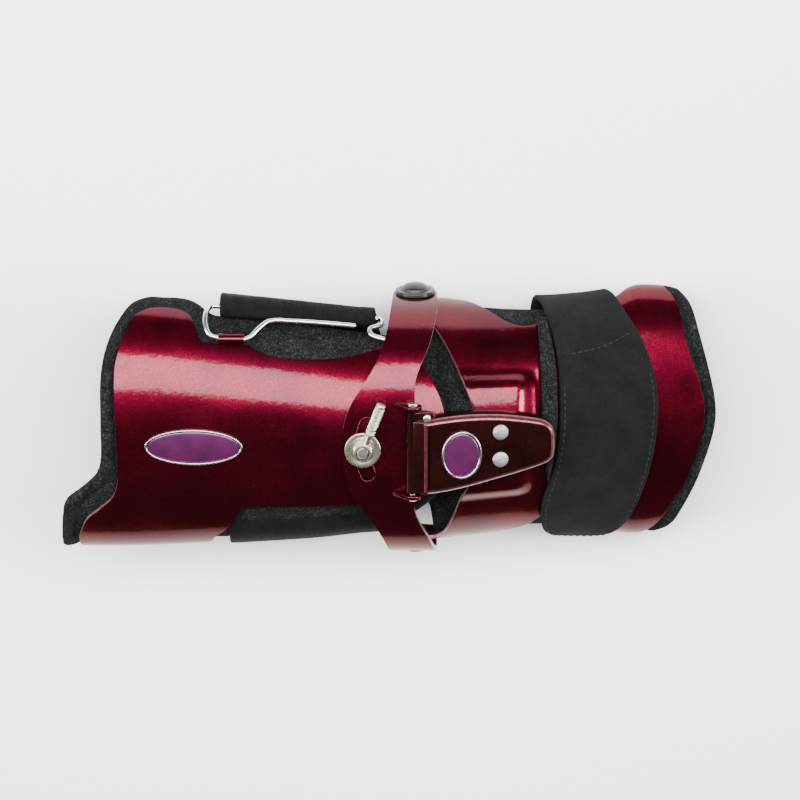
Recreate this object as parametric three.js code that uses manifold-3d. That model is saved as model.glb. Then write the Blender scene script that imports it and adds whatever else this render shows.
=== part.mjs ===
// A rigid wrist positioner for bowling, right hand, lying palm side down.
// Millimetres, +X towards the fingers, +Y towards the thumb, +Z up.
// Lengths along X are measured from the two side pivots of the wrist yoke.
import * as THREE from 'three';
import { mergeVertices } from 'three/addons/utils/BufferGeometryUtils.js';
import Module from 'manifold-3d';

const wasm = await Module();
wasm.setup();

// Walls and clearances
const gap = 0.3;
const plateWall = 1.7;
const padWall = 5;
const strapWall = 2.4;
const floorSink = 1.3;

// Forearm guard
const forearmLength = 128;
const forearmHalfWidth = 44;
const forearmRise = 29.5;
const forearmAxisHeight = 42.4;
const padLip = 3.2;
const lipWidth = 4.6;
const facetRoom = 0.85;

// Wrist yoke
const yokeHalfWidth = 56;
const yokeWall = 2;
const pivotHeight = 29.5;
const yokeEndRadius = 9.3;
const yokeReach = 31;
const slotWidth = 6.5;
const slotSpan = 29;
const clampReach = 30.4;
const hingeX = 8;

// Hand guard
const handLength = 124;
const handStep = 2.4;
const bossLift = 3.6;
const handStrapLift = 2.4;
const cushionWall = 3;

// Hardware
const pivotHeadRadius = 8.5;
const pivotHeadHeight = 4.4;
const pivotShankRadius = 3;
const boltRadius = 2.5;
const washerRadius = 7.75;
const washerWall = 1.2;
const nutRadius = 4;
const nutHeight = 4;
const thumbNeckRadius = 1.1;
const thumbNeckLength = 9;
const thumbGripRadius = 2.5;
const thumbGripLength = 15.5;
const thumbTurn = 70;
const wireRadius = 1.1;

// Support lever
const leverLength = 58;
const leverHalfWidth = 18;
const leverHeight = 8.5;
const leverWall = 1.6;
const leverFall = 11;
const leverPinRadius = 1.5;
const leverPinDrop = 5.8;
const leverSetBack = 3.2;
const leverEarRadius = 2.9;
const earWall = 1.9;
const leverRivetRadius = 3.4;

// Badges
const forearmBadgeLength = 42;
const forearmBadgeWidth = 16;
const leverBadgeLength = 17.6;
const leverBadgeWidth = 21.2;
const badgeRim = 1;
const badgeHeight = 1.2;
const badgeTurn = 91;
const leverBadgeShift = -0.6;

const degree = Math.PI / 180;
const handHalfWidth = yokeHalfWidth - yokeWall - gap - plateWall - gap;
const forearmTop = forearmAxisHeight + forearmRise + gap + plateWall;
const handRise = forearmTop - handStep - gap - plateWall - pivotHeight;
const yokeRise = forearmTop + gap + yokeWall - pivotHeight;
const yokeTop = pivotHeight + yokeRise;

// Sections of the forearm from beyond the elbow rim to the tip under the lever.
// along is a share of forearmLength, half a share of forearmHalfWidth, rise of forearmRise,
// centre of forearmAxisHeight, and shift a share of forearmHalfWidth towards the thumb.
const forearmSections = [
  { along: -1.2, half: 1.215, rise: 1, centre: 0.94, shift: 0.04 },
  { along: -1, half: 1.215, rise: 1, centre: 0.943, shift: 0.04 },
  { along: -0.84, half: 1.195, rise: 1, centre: 0.948, shift: 0.035 },
  { along: -0.56, half: 1.125, rise: 1, centre: 0.972, shift: 0.015 },
  { along: -0.33, half: 1.057, rise: 1, centre: 0.991, shift: 0 },
  { along: -0.17, half: 1, rise: 1, centre: 1, shift: 0 },
  { along: 0.14, half: 0.94, rise: 1, centre: 1, shift: 0 },
];

// Sections of the hand from the side pivots to past the fingers' rim, as shares of
// handLength, handHalfWidth, handRise and pivotHeight.
const handSections = [
  { along: -0.1, half: 1, rise: 1, centre: 1, shift: 0 },
  { along: 0.03, half: 1, rise: 1, centre: 1, shift: 0 },
  { along: 0.19, half: 0.965, rise: 0.94, centre: 0.965, shift: 0 },
  { along: 0.39, half: 0.935, rise: 0.84, centre: 0.9, shift: 0 },
  { along: 0.64, half: 0.965, rise: 0.7, centre: 0.775, shift: 0 },
  { along: 0.78, half: 1.04, rise: 0.63, centre: 0.62, shift: 0.01 },
  { along: 1.04, half: 0.945, rise: 0.53, centre: 0.42, shift: 0 },
];

// Outlines. Each edge runs over a row of points: step is the place on the edge from 0 to 1,
// along a share of the guard's length, turn the angle round the arm from the thumb side.
const forearmPlateEdges = {
  back: [
    { step: 0, along: -1.128, turn: 150 },
    { step: 0.14, along: -1.1, turn: 133 },
    { step: 0.24, along: -1.05, turn: 124.5 },
    { step: 0.32, along: -1.008, turn: 117.5 },
    { step: 0.4, along: -0.99, turn: 107 },
    { step: 0.6, along: -0.996, turn: 84 },
    { step: 0.8, along: -1, turn: 59 },
    { step: 0.9, along: -0.987, turn: 46 },
    { step: 1, along: -0.955, turn: 31 },
  ],
  front: [
    { step: 0, along: -0.055, turn: 132 },
    { step: 0.15, along: 0.004, turn: 127 },
    { step: 0.36, along: 0.088, turn: 112 },
    { step: 0.5, along: 0.1, turn: 90 },
    { step: 0.64, along: 0.09, turn: 66 },
    { step: 0.85, along: 0.02, turn: 40 },
    { step: 1, along: -0.055, turn: 28 },
  ],
  low: [
    { step: 0, along: -1.128, turn: 150 },
    { step: 0.05, along: -1.115, turn: 168 },
    { step: 0.1, along: -1.05, turn: 187 },
    { step: 0.16, along: -0.95, turn: 197 },
    { step: 0.22, along: -0.84, turn: 198 },
    { step: 0.27, along: -0.75, turn: 188 },
    { step: 0.32, along: -0.7, turn: 170 },
    { step: 0.375, along: -0.668, turn: 148 },
    { step: 0.43, along: -0.645, turn: 129 },
    { step: 0.48, along: -0.59, turn: 125 },
    { step: 0.74, along: -0.26, turn: 126 },
    { step: 0.87, along: -0.14, turn: 128 },
    { step: 1, along: -0.055, turn: 132 },
  ],
  high: [
    { step: 0, along: -0.955, turn: 31 },
    { step: 0.05, along: -0.93, turn: 22 },
    { step: 0.1, along: -0.89, turn: 15.5 },
    { step: 0.16, along: -0.83, turn: 13 },
    { step: 0.21, along: -0.78, turn: 14.5 },
    { step: 0.25, along: -0.748, turn: 20 },
    { step: 0.28, along: -0.731, turn: 29 },
    { step: 0.31, along: -0.712, turn: 37 },
    { step: 0.34, along: -0.68, turn: 38 },
    { step: 0.46, along: -0.557, turn: 37 },
    { step: 0.5, along: -0.525, turn: 40 },
    { step: 0.55, along: -0.468, turn: 43 },
    { step: 0.7, along: -0.3, turn: 41 },
    { step: 0.8, along: -0.19, turn: 35.5 },
    { step: 0.88, along: -0.12, turn: 29 },
    { step: 1, along: -0.055, turn: 28 },
  ],
};

const forearmPadEdges = {
  back: [
    { step: 0, along: -1.185, turn: 152 },
    { step: 0.12, along: -1.18, turn: 134 },
    { step: 0.22, along: -1.165, turn: 122 },
    { step: 0.3, along: -1.11, turn: 114 },
    { step: 0.38, along: -1.06, turn: 106 },
    { step: 0.45, along: -1.047, turn: 98 },
    { step: 0.6, along: -1.047, turn: 82 },
    { step: 0.8, along: -1.045, turn: 58 },
    { step: 0.9, along: -1.025, turn: 42 },
    { step: 1, along: -0.977, turn: 21 },
  ],
  front: [
    { step: 0, along: -0.06, turn: 172 },
    { step: 0.15, along: -0.01, turn: 148 },
    { step: 0.38, along: 0.095, turn: 118 },
    { step: 0.5, along: 0.11, turn: 90 },
    { step: 0.62, along: 0.095, turn: 62 },
    { step: 0.85, along: -0.01, turn: 32 },
    { step: 1, along: -0.06, turn: 8 },
  ],
  low: [
    { step: 0, along: -1.185, turn: 152 },
    { step: 0.05, along: -1.175, turn: 176 },
    { step: 0.1, along: -1.1, turn: 196 },
    { step: 0.16, along: -0.98, turn: 207 },
    { step: 0.22, along: -0.86, turn: 208 },
    { step: 0.28, along: -0.75, turn: 202 },
    { step: 0.34, along: -0.66, turn: 193 },
    { step: 0.5, along: -0.5, turn: 187 },
    { step: 0.72, along: -0.29, turn: 185 },
    { step: 0.86, along: -0.16, turn: 181 },
    { step: 1, along: -0.06, turn: 172 },
  ],
  high: [
    { step: 0, along: -0.977, turn: 21 },
    { step: 0.04, along: -0.937, turn: 5 },
    { step: 0.09, along: -0.89, turn: -7 },
    { step: 0.15, along: -0.826, turn: -11 },
    { step: 0.21, along: -0.77, turn: -10 },
    { step: 0.25, along: -0.73, turn: -3 },
    { step: 0.29, along: -0.7, turn: 5 },
    { step: 0.34, along: -0.66, turn: 6 },
    { step: 0.5, along: -0.5, turn: 2 },
    { step: 0.72, along: -0.29, turn: 2 },
    { step: 0.86, along: -0.16, turn: 4 },
    { step: 1, along: -0.06, turn: 8 },
  ],
};

const handPlateEdges = {
  back: [
    { step: 0, along: -0.06, turn: 190 },
    { step: 0.06, along: -0.072, turn: 180 },
    { step: 0.12, along: -0.04, turn: 172 },
    { step: 0.2, along: 0.06, turn: 165 },
    { step: 0.34, along: 0.16, turn: 118 },
    { step: 0.5, along: 0.23, turn: 90 },
    { step: 0.66, along: 0.185, turn: 68 },
    { step: 0.82, along: 0.07, turn: 30 },
    { step: 0.88, along: -0.04, turn: 8 },
    { step: 0.94, along: -0.072, turn: 0 },
    { step: 1, along: -0.06, turn: -10 },
  ],
  front: [
    { step: 0, along: 0.76, turn: 172 },
    { step: 0.1, along: 0.83, turn: 155 },
    { step: 0.25, along: 0.895, turn: 132.5 },
    { step: 0.38, along: 0.951, turn: 116 },
    { step: 0.55, along: 0.995, turn: 93 },
    { step: 0.64, along: 1, turn: 81 },
    { step: 0.73, along: 0.975, turn: 67 },
    { step: 0.83, along: 0.935, turn: 48 },
    { step: 0.92, along: 0.912, turn: 28 },
    { step: 1, along: 0.885, turn: 12 },
  ],
  low: [
    { step: 0, along: -0.06, turn: 190 },
    { step: 0.05, along: 0, turn: 195 },
    { step: 0.12, along: 0.09, turn: 191 },
    { step: 0.2, along: 0.2, turn: 182 },
    { step: 0.27, along: 0.27, turn: 170 },
    { step: 0.34, along: 0.34, turn: 153 },
    { step: 0.4, along: 0.395, turn: 140 },
    { step: 0.46, along: 0.44, turn: 129 },
    { step: 0.54, along: 0.5, turn: 134 },
    { step: 0.65, along: 0.58, turn: 154 },
    { step: 0.76, along: 0.65, turn: 168 },
    { step: 0.88, along: 0.7, turn: 173 },
    { step: 1, along: 0.76, turn: 172 },
  ],
  high: [
    { step: 0, along: -0.06, turn: -10 },
    { step: 0.04, along: 0, turn: -15 },
    { step: 0.09, along: 0.08, turn: -13 },
    { step: 0.17, along: 0.18, turn: 0 },
    { step: 0.25, along: 0.26, turn: 14 },
    { step: 0.31, along: 0.31, turn: 22 },
    { step: 0.37, along: 0.36, turn: 26 },
    { step: 0.43, along: 0.415, turn: 25.5 },
    { step: 0.49, along: 0.47, turn: 19 },
    { step: 0.57, along: 0.56, turn: 12 },
    { step: 0.7, along: 0.69, turn: 9 },
    { step: 0.76, along: 0.74, turn: 0 },
    { step: 0.84, along: 0.79, turn: -7 },
    { step: 0.92, along: 0.84, turn: -5 },
    { step: 1, along: 0.885, turn: 12 },
  ],
};

const handPadEdges = {
  back: [
    { step: 0, along: 0.1, turn: 178 },
    { step: 0.2, along: 0.05, turn: 158 },
    { step: 0.34, along: 0.09, turn: 128 },
    { step: 0.5, along: 0.145, turn: 90 },
    { step: 0.66, along: 0.1, turn: 54 },
    { step: 0.82, along: 0.05, turn: 26 },
    { step: 1, along: 0.1, turn: -2 },
  ],
  front: [
    { step: 0, along: 0.8, turn: 184 },
    { step: 0.1, along: 0.88, turn: 164 },
    { step: 0.25, along: 0.94, turn: 138 },
    { step: 0.38, along: 0.99, turn: 118 },
    { step: 0.55, along: 1.038, turn: 94 },
    { step: 0.64, along: 1.042, turn: 81 },
    { step: 0.73, along: 1.02, turn: 64 },
    { step: 0.83, along: 0.985, turn: 43 },
    { step: 0.92, along: 0.955, turn: 21 },
    { step: 1, along: 0.91, turn: 0 },
  ],
  low: [
    { step: 0, along: 0.1, turn: 178 },
    { step: 0.12, along: 0.2, turn: 188 },
    { step: 0.4, along: 0.41, turn: 184 },
    { step: 0.7, along: 0.62, turn: 184 },
    { step: 0.88, along: 0.73, turn: 187 },
    { step: 1, along: 0.8, turn: 184 },
  ],
  high: [
    { step: 0, along: 0.1, turn: -2 },
    { step: 0.12, along: 0.2, turn: -5 },
    { step: 0.4, along: 0.41, turn: -3 },
    { step: 0.6, along: 0.58, turn: -5 },
    { step: 0.76, along: 0.72, turn: -14 },
    { step: 0.88, along: 0.82, turn: -18 },
    { step: 1, along: 0.91, turn: 0 },
  ],
};

// The yoke band from the thumb side pivot over the wrist: arc is the place round the half
// arch, back and front are shares of yokeReach from the pivots.
const yokeRows = [
  { arc: 0, back: -0.3, front: 0.3 },
  { arc: 0.1, back: -0.335, front: 0.3 },
  { arc: 0.18, back: -0.38, front: 0.25 },
  { arc: 0.235, back: -0.45, front: 0.18 },
  { arc: 0.285, back: -0.56, front: 0 },
  { arc: 0.34, back: -0.74, front: -0.01 },
  { arc: 0.39, back: -0.9, front: -0.01 },
  { arc: 0.44, back: -0.985, front: -0.01 },
  { arc: 0.5, back: -1, front: -0.01 },
];

// The hand strap from its rounded flap over the back of the hand, round the thumb web and
// under the palm: turn in degrees, back and front as shares of handLength.
const handStrapRows = [
  { turn: 169, back: 0.525, front: 0.59 },
  { turn: 165, back: 0.49, front: 0.635 },
  { turn: 158, back: 0.46, front: 0.675 },
  { turn: 147, back: 0.44, front: 0.715 },
  { turn: 126, back: 0.437, front: 0.775 },
  { turn: 105, back: 0.474, front: 0.82 },
  { turn: 88, back: 0.492, front: 0.838 },
  { turn: 70, back: 0.495, front: 0.833 },
  { turn: 50, back: 0.486, front: 0.785 },
  { turn: 32, back: 0.463, front: 0.73 },
  { turn: 12, back: 0.44, front: 0.69 },
  { turn: -12, back: 0.41, front: 0.655 },
  { turn: -40, back: 0.4, front: 0.64 },
  { turn: -90, back: 0.41, front: 0.64 },
  { turn: -130, back: 0.44, front: 0.67 },
  { turn: -158, back: 0.46, front: 0.69 },
];

const cushionRows = [
  { turn: 112, back: 0.455, front: 0.46 },
  { turn: 98, back: 0.443, front: 0.478 },
  { turn: 80, back: 0.436, front: 0.489 },
  { turn: 60, back: 0.432, front: 0.486 },
  { turn: 40, back: 0.425, front: 0.47 },
  { turn: 24, back: 0.42, front: 0.45 },
];

// The forearm strap's middle line: lift is from the lining's outer face, as a share of strapWall.
const forearmStrapPath = [
  { turn: 118, lift: -0.8 },
  { turn: 128, lift: -0.8 },
  { turn: 138, lift: -0.8 },
  { turn: 145, lift: 0.2 },
  { turn: 152, lift: 0.66 },
  { turn: 163, lift: 0.66 },
  { turn: 175, lift: 0.66 },
  { turn: 205, lift: 0.66 },
  { turn: 240, lift: 0.66 },
  { turn: 270, lift: 0.66 },
  { turn: 300, lift: 0.66 },
  { turn: 335, lift: 0.66 },
  { turn: 358, lift: 0.72 },
  { turn: 366, lift: 0.86 },
  { turn: 372, lift: 1.12 },
  { turn: 374.2, lift: 2.1 },
  { turn: 372, lift: 3.08 },
  { turn: 366, lift: 3.4 },
  { turn: 358, lift: 2.8 },
  { turn: 344, lift: 2.1 },
  { turn: 328, lift: 1.85 },
];
const forearmStrapBack = -0.623;
const forearmStrapFront = -0.105;
const forearmStrapSlant = 0.028;
const foldTurnBack = 4;
const foldTurnFront = -6;

// The strap wire: along a share of forearmLength, turn in degrees, lift from the lining as a
// share of strapWall.
const wirePath = [
  { along: -0.195, turn: 15, lift: 2.04 },
  { along: -0.3, turn: 16.2, lift: 2.04 },
  { along: -0.4, turn: 17.8, lift: 2 },
  { along: -0.486, turn: 20.4, lift: 1.92 },
  { along: -0.52, turn: 26.5, lift: 1.71 },
  { along: -0.55, turn: 33, lift: 1.42 },
  { along: -0.58, turn: 35.2, lift: 1.29 },
  { along: -0.65, turn: 35.4, lift: 1.29 },
  { along: -0.683, turn: 34.2, lift: 1.38 },
  { along: -0.698, turn: 28, lift: 1.67 },
  { along: -0.696, turn: 20, lift: 2 },
  { along: -0.68, turn: 13.6, lift: 2.08 },
  { along: -0.62, turn: 11.8, lift: 2.08 },
  { along: -0.52, turn: 9.8, lift: 2.08 },
  { along: -0.4, turn: 7.4, lift: 2.08 },
  { along: -0.27, turn: 4.9, lift: 2.08 },
  { along: -0.15, turn: 2.8, lift: 2.08 },
  { along: -0.116, turn: 4, lift: 2.08 },
  { along: -0.113, turn: 10.5, lift: 1.96 },
  { along: -0.152, turn: 15.6, lift: 1.75 },
  { along: -0.145, turn: 20.4, lift: 1.42 },
  { along: -0.105, turn: 22.4, lift: 1.13 },
  { along: -0.075, turn: 23.6, lift: 0.96 },
];

// Geometry helpers

function solidOf(geometry) {
  const bare = geometry.clone();
  bare.deleteAttribute('normal');
  bare.deleteAttribute('uv');
  const merged = mergeVertices(bare, 1e-4);
  return new wasm.Manifold(new wasm.Mesh({
    numProp: 3,
    vertProperties: new Float32Array(merged.attributes.position.array),
    triVerts: new Uint32Array(merged.index.array),
  }));
}

function geometryOf(solid) {
  const mesh = solid.getMesh();
  const geometry = new THREE.BufferGeometry();
  geometry.setAttribute('position', new THREE.BufferAttribute(new Float32Array(mesh.vertProperties), 3));
  geometry.setIndex(new THREE.BufferAttribute(new Uint32Array(mesh.triVerts), 1));
  geometry.computeVertexNormals();
  return geometry;
}

function placed(geometry, position, rotation = [0, 0, 0]) {
  const euler = new THREE.Euler(...rotation);
  const matrix = new THREE.Matrix4().makeRotationFromEuler(euler).setPosition(...position);
  return geometry.clone().applyMatrix4(matrix);
}

// A smooth value of one column at a place in a table.
function columnAt(rows, key, place, column) {
  const last = rows.length - 1;
  const up = rows[last][key] > rows[0][key] ? 1 : -1;
  let index = 0;
  while (index < last - 1 && up * place > up * rows[index + 1][key]) index += 1;
  const start = rows[index];
  const end = rows[index + 1];
  const before = rows[Math.max(index - 1, 0)];
  const after = rows[Math.min(index + 2, last)];
  const span = end[key] - start[key];
  const share = Math.min(Math.max((place - start[key]) / span, 0), 1);
  const slopeIn = ((end[column] - before[column]) / (end[key] - before[key])) * span;
  const slopeOut = ((after[column] - start[column]) / (after[key] - start[key])) * span;
  const square = share * share;
  const cube = square * share;
  return (2 * cube - 3 * square + 1) * start[column] + (cube - 2 * square + share) * slopeIn
    + (3 * square - 2 * cube) * end[column] + (cube - square) * slopeOut;
}

// The same with straight stretches, for outlines with corners.
function straightAt(rows, key, place, column) {
  const last = rows.length - 1;
  const up = rows[last][key] > rows[0][key] ? 1 : -1;
  let index = 0;
  while (index < last - 1 && up * place > up * rows[index + 1][key]) index += 1;
  const start = rows[index];
  const end = rows[index + 1];
  const share = (place - start[key]) / (end[key] - start[key]);
  return start[column] + (end[column] - start[column]) * share;
}

function smoothStep(low, high, value) {
  const share = Math.min(Math.max((value - low) / (high - low), 0), 1);
  return share * share * (3 - 2 * share);
}

// A point of an arm-like tube: an arch above its axis and a deeper bowl that reaches the floor.
function tubePoint(section, turn, lift, strapReach) {
  const angle = turn * degree;
  const depth = section.centre + floorSink - strapReach;
  const height = Math.sin(angle) >= 0 ? section.rise : depth;
  return [
    section.shift + (section.half + lift) * Math.cos(angle),
    section.centre + (height + lift) * Math.sin(angle),
  ];
}

function forearmPoint(x, turn, lift) {
  const along = x / forearmLength;
  const section = {
    half: forearmHalfWidth * columnAt(forearmSections, 'along', along, 'half'),
    rise: forearmRise * columnAt(forearmSections, 'along', along, 'rise'),
    centre: forearmAxisHeight * columnAt(forearmSections, 'along', along, 'centre'),
    shift: forearmHalfWidth * columnAt(forearmSections, 'along', along, 'shift'),
  };
  const strapReach = gap + strapWall;
  const [y, z] = tubePoint(section, turn, lift, strapReach);
  return new THREE.Vector3(x, y, z);
}

// The raised boss under the lever: a long hump with a rounded end towards the fingers.
function bossAt(x, turn) {
  const along = x / handLength;
  const ends = 1 - smoothStep(0.36, 0.415, along);
  const sides = 1 - smoothStep(26, 34, Math.abs(turn - 88));
  return bossLift * ends * sides;
}

function handPoint(x, turn, lift) {
  const along = x / handLength;
  const section = {
    half: handHalfWidth * columnAt(handSections, 'along', along, 'half'),
    rise: handRise * columnAt(handSections, 'along', along, 'rise'),
    centre: pivotHeight * columnAt(handSections, 'along', along, 'centre'),
    shift: handHalfWidth * columnAt(handSections, 'along', along, 'shift'),
  };
  const strapReach = gap + strapWall;
  const [y, z] = tubePoint(section, turn, lift, strapReach);
  return new THREE.Vector3(x, y, z);
}

// The yoke's arch is squarer than an ellipse, so it clears the forearm plate when it turns.
const yokeSquareness = 2.7;
const yokeArch = [];
for (let index = 0; index <= 180; index += 1) {
  const angle = index * degree;
  const power = 2 / yokeSquareness;
  const reach = yokeHalfWidth - yokeWall / 2;
  const rise = yokeRise - yokeWall / 2;
  const y = reach * Math.sign(Math.cos(angle)) * Math.abs(Math.cos(angle)) ** power;
  const z = pivotHeight + rise * Math.abs(Math.sin(angle)) ** power;
  const previous = yokeArch[yokeArch.length - 1];
  const run = previous ? previous.run + Math.hypot(y - previous.y, z - previous.z) : 0;
  yokeArch.push({ run, y, z });
}
const archRun = yokeArch[yokeArch.length - 1].run;

function yokePoint(x, run) {
  if (run < 0) return new THREE.Vector3(x, yokeArch[0].y, pivotHeight + run);
  if (run > archRun) return new THREE.Vector3(x, -yokeArch[0].y, pivotHeight - (run - archRun));
  const y = straightAt(yokeArch, 'run', run, 'y');
  const z = straightAt(yokeArch, 'run', run, 'z');
  return new THREE.Vector3(x, y, z);
}

// A closed sheet from a grid of points on its middle face: wallAt gives how far the inner
// and outer faces lie from it along the normal, and finish may move each finished point.
function sheet(columns, rows, pointAt, wallAt, finish = (point) => point) {
  const middle = [];
  const across = columns.length;
  const down = rows.length;
  for (const u of columns) {
    for (const v of rows) middle.push(pointAt(u, v));
  }
  const at = (i, j) => middle[i * down + j];
  const faces = [[], []];
  for (let i = 0; i < across; i += 1) {
    for (let j = 0; j < down; j += 1) {
      const alongU = at(Math.min(i + 1, across - 1), j).clone().sub(at(Math.max(i - 1, 0), j));
      const alongV = at(i, Math.min(j + 1, down - 1)).clone().sub(at(i, Math.max(j - 1, 0)));
      const normal = alongU.cross(alongV).normalize();
      const walls = wallAt(columns[i], rows[j]);
      walls.forEach((wall, side) => {
        faces[side].push(finish(at(i, j).clone().addScaledVector(normal, wall), side));
      });
    }
  }
  const positions = [];
  for (const point of [...faces[0], ...faces[1]]) positions.push(point.x, point.y, point.z);
  const offset = faces[0].length;
  const index = [];
  const quad = (a, b, c, d) => index.push(a, b, c, a, c, d);
  const id = (i, j) => i * down + j;
  for (let i = 0; i < across - 1; i += 1) {
    for (let j = 0; j < down - 1; j += 1) {
      quad(offset + id(i, j), offset + id(i + 1, j), offset + id(i + 1, j + 1), offset + id(i, j + 1));
      quad(id(i, j), id(i, j + 1), id(i + 1, j + 1), id(i + 1, j));
    }
  }
  for (let i = 0; i < across - 1; i += 1) {
    quad(id(i, 0), id(i + 1, 0), offset + id(i + 1, 0), offset + id(i, 0));
    quad(id(i + 1, down - 1), id(i, down - 1), offset + id(i, down - 1), offset + id(i + 1, down - 1));
  }
  for (let j = 0; j < down - 1; j += 1) {
    quad(id(0, j + 1), id(0, j), offset + id(0, j), offset + id(0, j + 1));
    quad(id(across - 1, j), id(across - 1, j + 1), offset + id(across - 1, j + 1), offset + id(across - 1, j));
  }
  const geometry = new THREE.BufferGeometry();
  geometry.setAttribute('position', new THREE.BufferAttribute(new Float32Array(positions), 3));
  geometry.setIndex(index);
  return geometry;
}

// Even shares from 0 to 1, drawn closer at both ends by crowd and run past them by over.
function shares(count, crowd = 0, over = 0) {
  const list = [];
  for (let index = 0; index <= count; index += 1) {
    const share = index / count;
    const crowded = share + (crowd * Math.sin(2 * Math.PI * share)) / (-2 * Math.PI);
    list.push(crowded * (1 + 2 * over) - over);
  }
  return list;
}

// A patch between four edges, as a place along the guard and a turn round it.
function patchPlace(edges, u, v) {
  const place = {};
  for (const column of ['along', 'turn']) {
    const low = straightAt(edges.low, 'step', u, column);
    const high = straightAt(edges.high, 'step', u, column);
    const back = straightAt(edges.back, 'step', v, column);
    const front = straightAt(edges.front, 'step', v, column);
    const lowBack = edges.low[0][column];
    const lowFront = edges.low[edges.low.length - 1][column];
    const highBack = edges.high[0][column];
    const highFront = edges.high[edges.high.length - 1][column];
    place[column] = (1 - v) * low + v * high + (1 - u) * back + u * front
      - ((1 - u) * (1 - v) * lowBack + u * (1 - v) * lowFront + (1 - u) * v * highBack + u * v * highFront);
  }
  return place;
}

// How far a place on a patch lies from the rim, measured flat over the guard.
function rimDistance(edges, place, length, half) {
  let nearest = Infinity;
  for (const edge of [edges.back, edges.low, edges.high, edges.front]) {
    for (let index = 0; index < edge.length - 1; index += 1) {
      const ax = edge[index].along * length;
      const ay = edge[index].turn * degree * half;
      const bx = edge[index + 1].along * length - ax;
      const by = edge[index + 1].turn * degree * half - ay;
      const px = place.along * length - ax;
      const py = place.turn * degree * half - ay;
      const share = Math.min(Math.max((px * bx + py * by) / (bx * bx + by * by), 0), 1);
      nearest = Math.min(nearest, Math.hypot(px - share * bx, py - share * by));
    }
  }
  return nearest;
}

function cylinder(radius, height, sides = 20) {
  return new THREE.CylinderGeometry(radius, radius, height, sides).rotateX(90 * degree);
}

function oval(length, width, sides = 28) {
  const shape = new THREE.Shape();
  for (let index = 0; index < sides; index += 1) {
    const angle = (index / sides) * 2 * Math.PI;
    const x = (length / 2) * Math.cos(angle);
    const y = (width / 2) * Math.sin(angle);
    if (index === 0) shape.moveTo(x, y);
    else shape.lineTo(x, y);
  }
  shape.closePath();
  return shape;
}

// A strap lies flat where it would pass below the floor.
function restOnFloor(outerSide) {
  return (point, side) => {
    const lowest = side === outerSide ? 0 : strapWall;
    point.z = Math.max(point.z, lowest);
    return point;
  };
}

// Materials

function material(color, roughness, metalness) {
  return new THREE.MeshStandardMaterial({ color, roughness, metalness });
}

const redPaint = () => material(0x6a0a1c, 0.25, 0.6);
const foam = () => material(0x17181a, 0.95, 0);
const webbing = () => material(0x1c1d1f, 0.9, 0);
const steel = () => material(0xb9b9b4, 0.25, 1);
const blackened = () => material(0x1e1e20, 0.35, 0.8);
const purpleEnamel = () => material(0x4a0f5c, 0.2, 0.2);

const model = new THREE.Group();

function addPart(parent, name, geometry, finish) {
  const mesh = new THREE.Mesh(geometry, finish);
  mesh.name = name;
  parent.add(mesh);
  return mesh;
}

// Forearm guard pieces

function forearmPatch(edges, lift) {
  return (u, v) => {
    const place = patchPlace(edges, u, v);
    return forearmPoint(place.along * forearmLength, place.turn, lift);
  };
}

function padLiftAt(edges, place, length, half, reach) {
  const fromRim = rimDistance(edges, place, length, half);
  return padLip * (1 - smoothStep(0, lipWidth, fromRim)) * reach;
}

function forearmPadPoint(u, v) {
  const place = patchPlace(forearmPadEdges, u, v);
  const nearElbow = 1 - smoothStep(-0.74, -0.66, place.along);
  const lift = padLiftAt(forearmPadEdges, place, forearmLength, forearmHalfWidth, nearElbow);
  return forearmPoint(place.along * forearmLength, place.turn, lift - padWall / 2 - facetRoom);
}

function forearmStrapPoint(u, v) {
  const last = forearmStrapPath.length - 1;
  const index = Math.min(Math.max(Math.floor(v * last), 0), last - 1);
  const share = v * last - index;
  const start = forearmStrapPath[index];
  const end = forearmStrapPath[index + 1];
  const plainTurn = start.turn + (end.turn - start.turn) * share;
  const nearFold = smoothStep(290, 355, plainTurn) * smoothStep(0, 0.5, v);
  const turn = plainTurn + (foldTurnBack + (foldTurnFront - foldTurnBack) * u) * nearFold;
  const lift = strapWall * (start.lift + (end.lift - start.lift) * share);
  const along = forearmStrapBack + (forearmStrapFront - forearmStrapBack) * u - forearmStrapSlant * nearFold;
  return forearmPoint(along * forearmLength, turn, lift);
}

function buildForearmStrap(grow = 0) {
  const half = strapWall / 2 + grow;
  const reach = forearmLength * (forearmStrapFront - forearmStrapBack);
  const edge = grow / reach;
  const columns = shares(3, 0, edge);
  const rows = shares((forearmStrapPath.length - 1) * 2);
  rows[0] -= grow * 0.04;
  const clamp = grow > 0 ? (point) => point : restOnFloor(0);
  return sheet(columns, rows, forearmStrapPoint, () => [-half, half], clamp);
}

function forearmPlateSheet() {
  const half = plateWall / 2;
  const point = forearmPatch(forearmPlateEdges, gap + half);
  return solidOf(sheet(shares(22), shares(13), point, () => [-half, half]));
}

function buildForearmPad() {
  const crowd = 0.75;
  const pad = sheet(shares(18, crowd), shares(13, crowd), forearmPadPoint, () => [-padWall / 2, padWall / 2]);
  return geometryOf(solidOf(pad).subtract(solidOf(buildForearmStrap(gap))));
}

function wireCurve() {
  const points = wirePath.map((row) => forearmPoint(row.along * forearmLength, row.turn, row.lift * strapWall));
  return new THREE.CatmullRomCurve3(points, false, 'centripetal');
}

function tube(curve, radius, steps, sides) {
  const section = oval(radius * 2, radius * 2, sides);
  return new THREE.ExtrudeGeometry(section, { steps, extrudePath: curve, curveSegments: sides });
}

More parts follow.
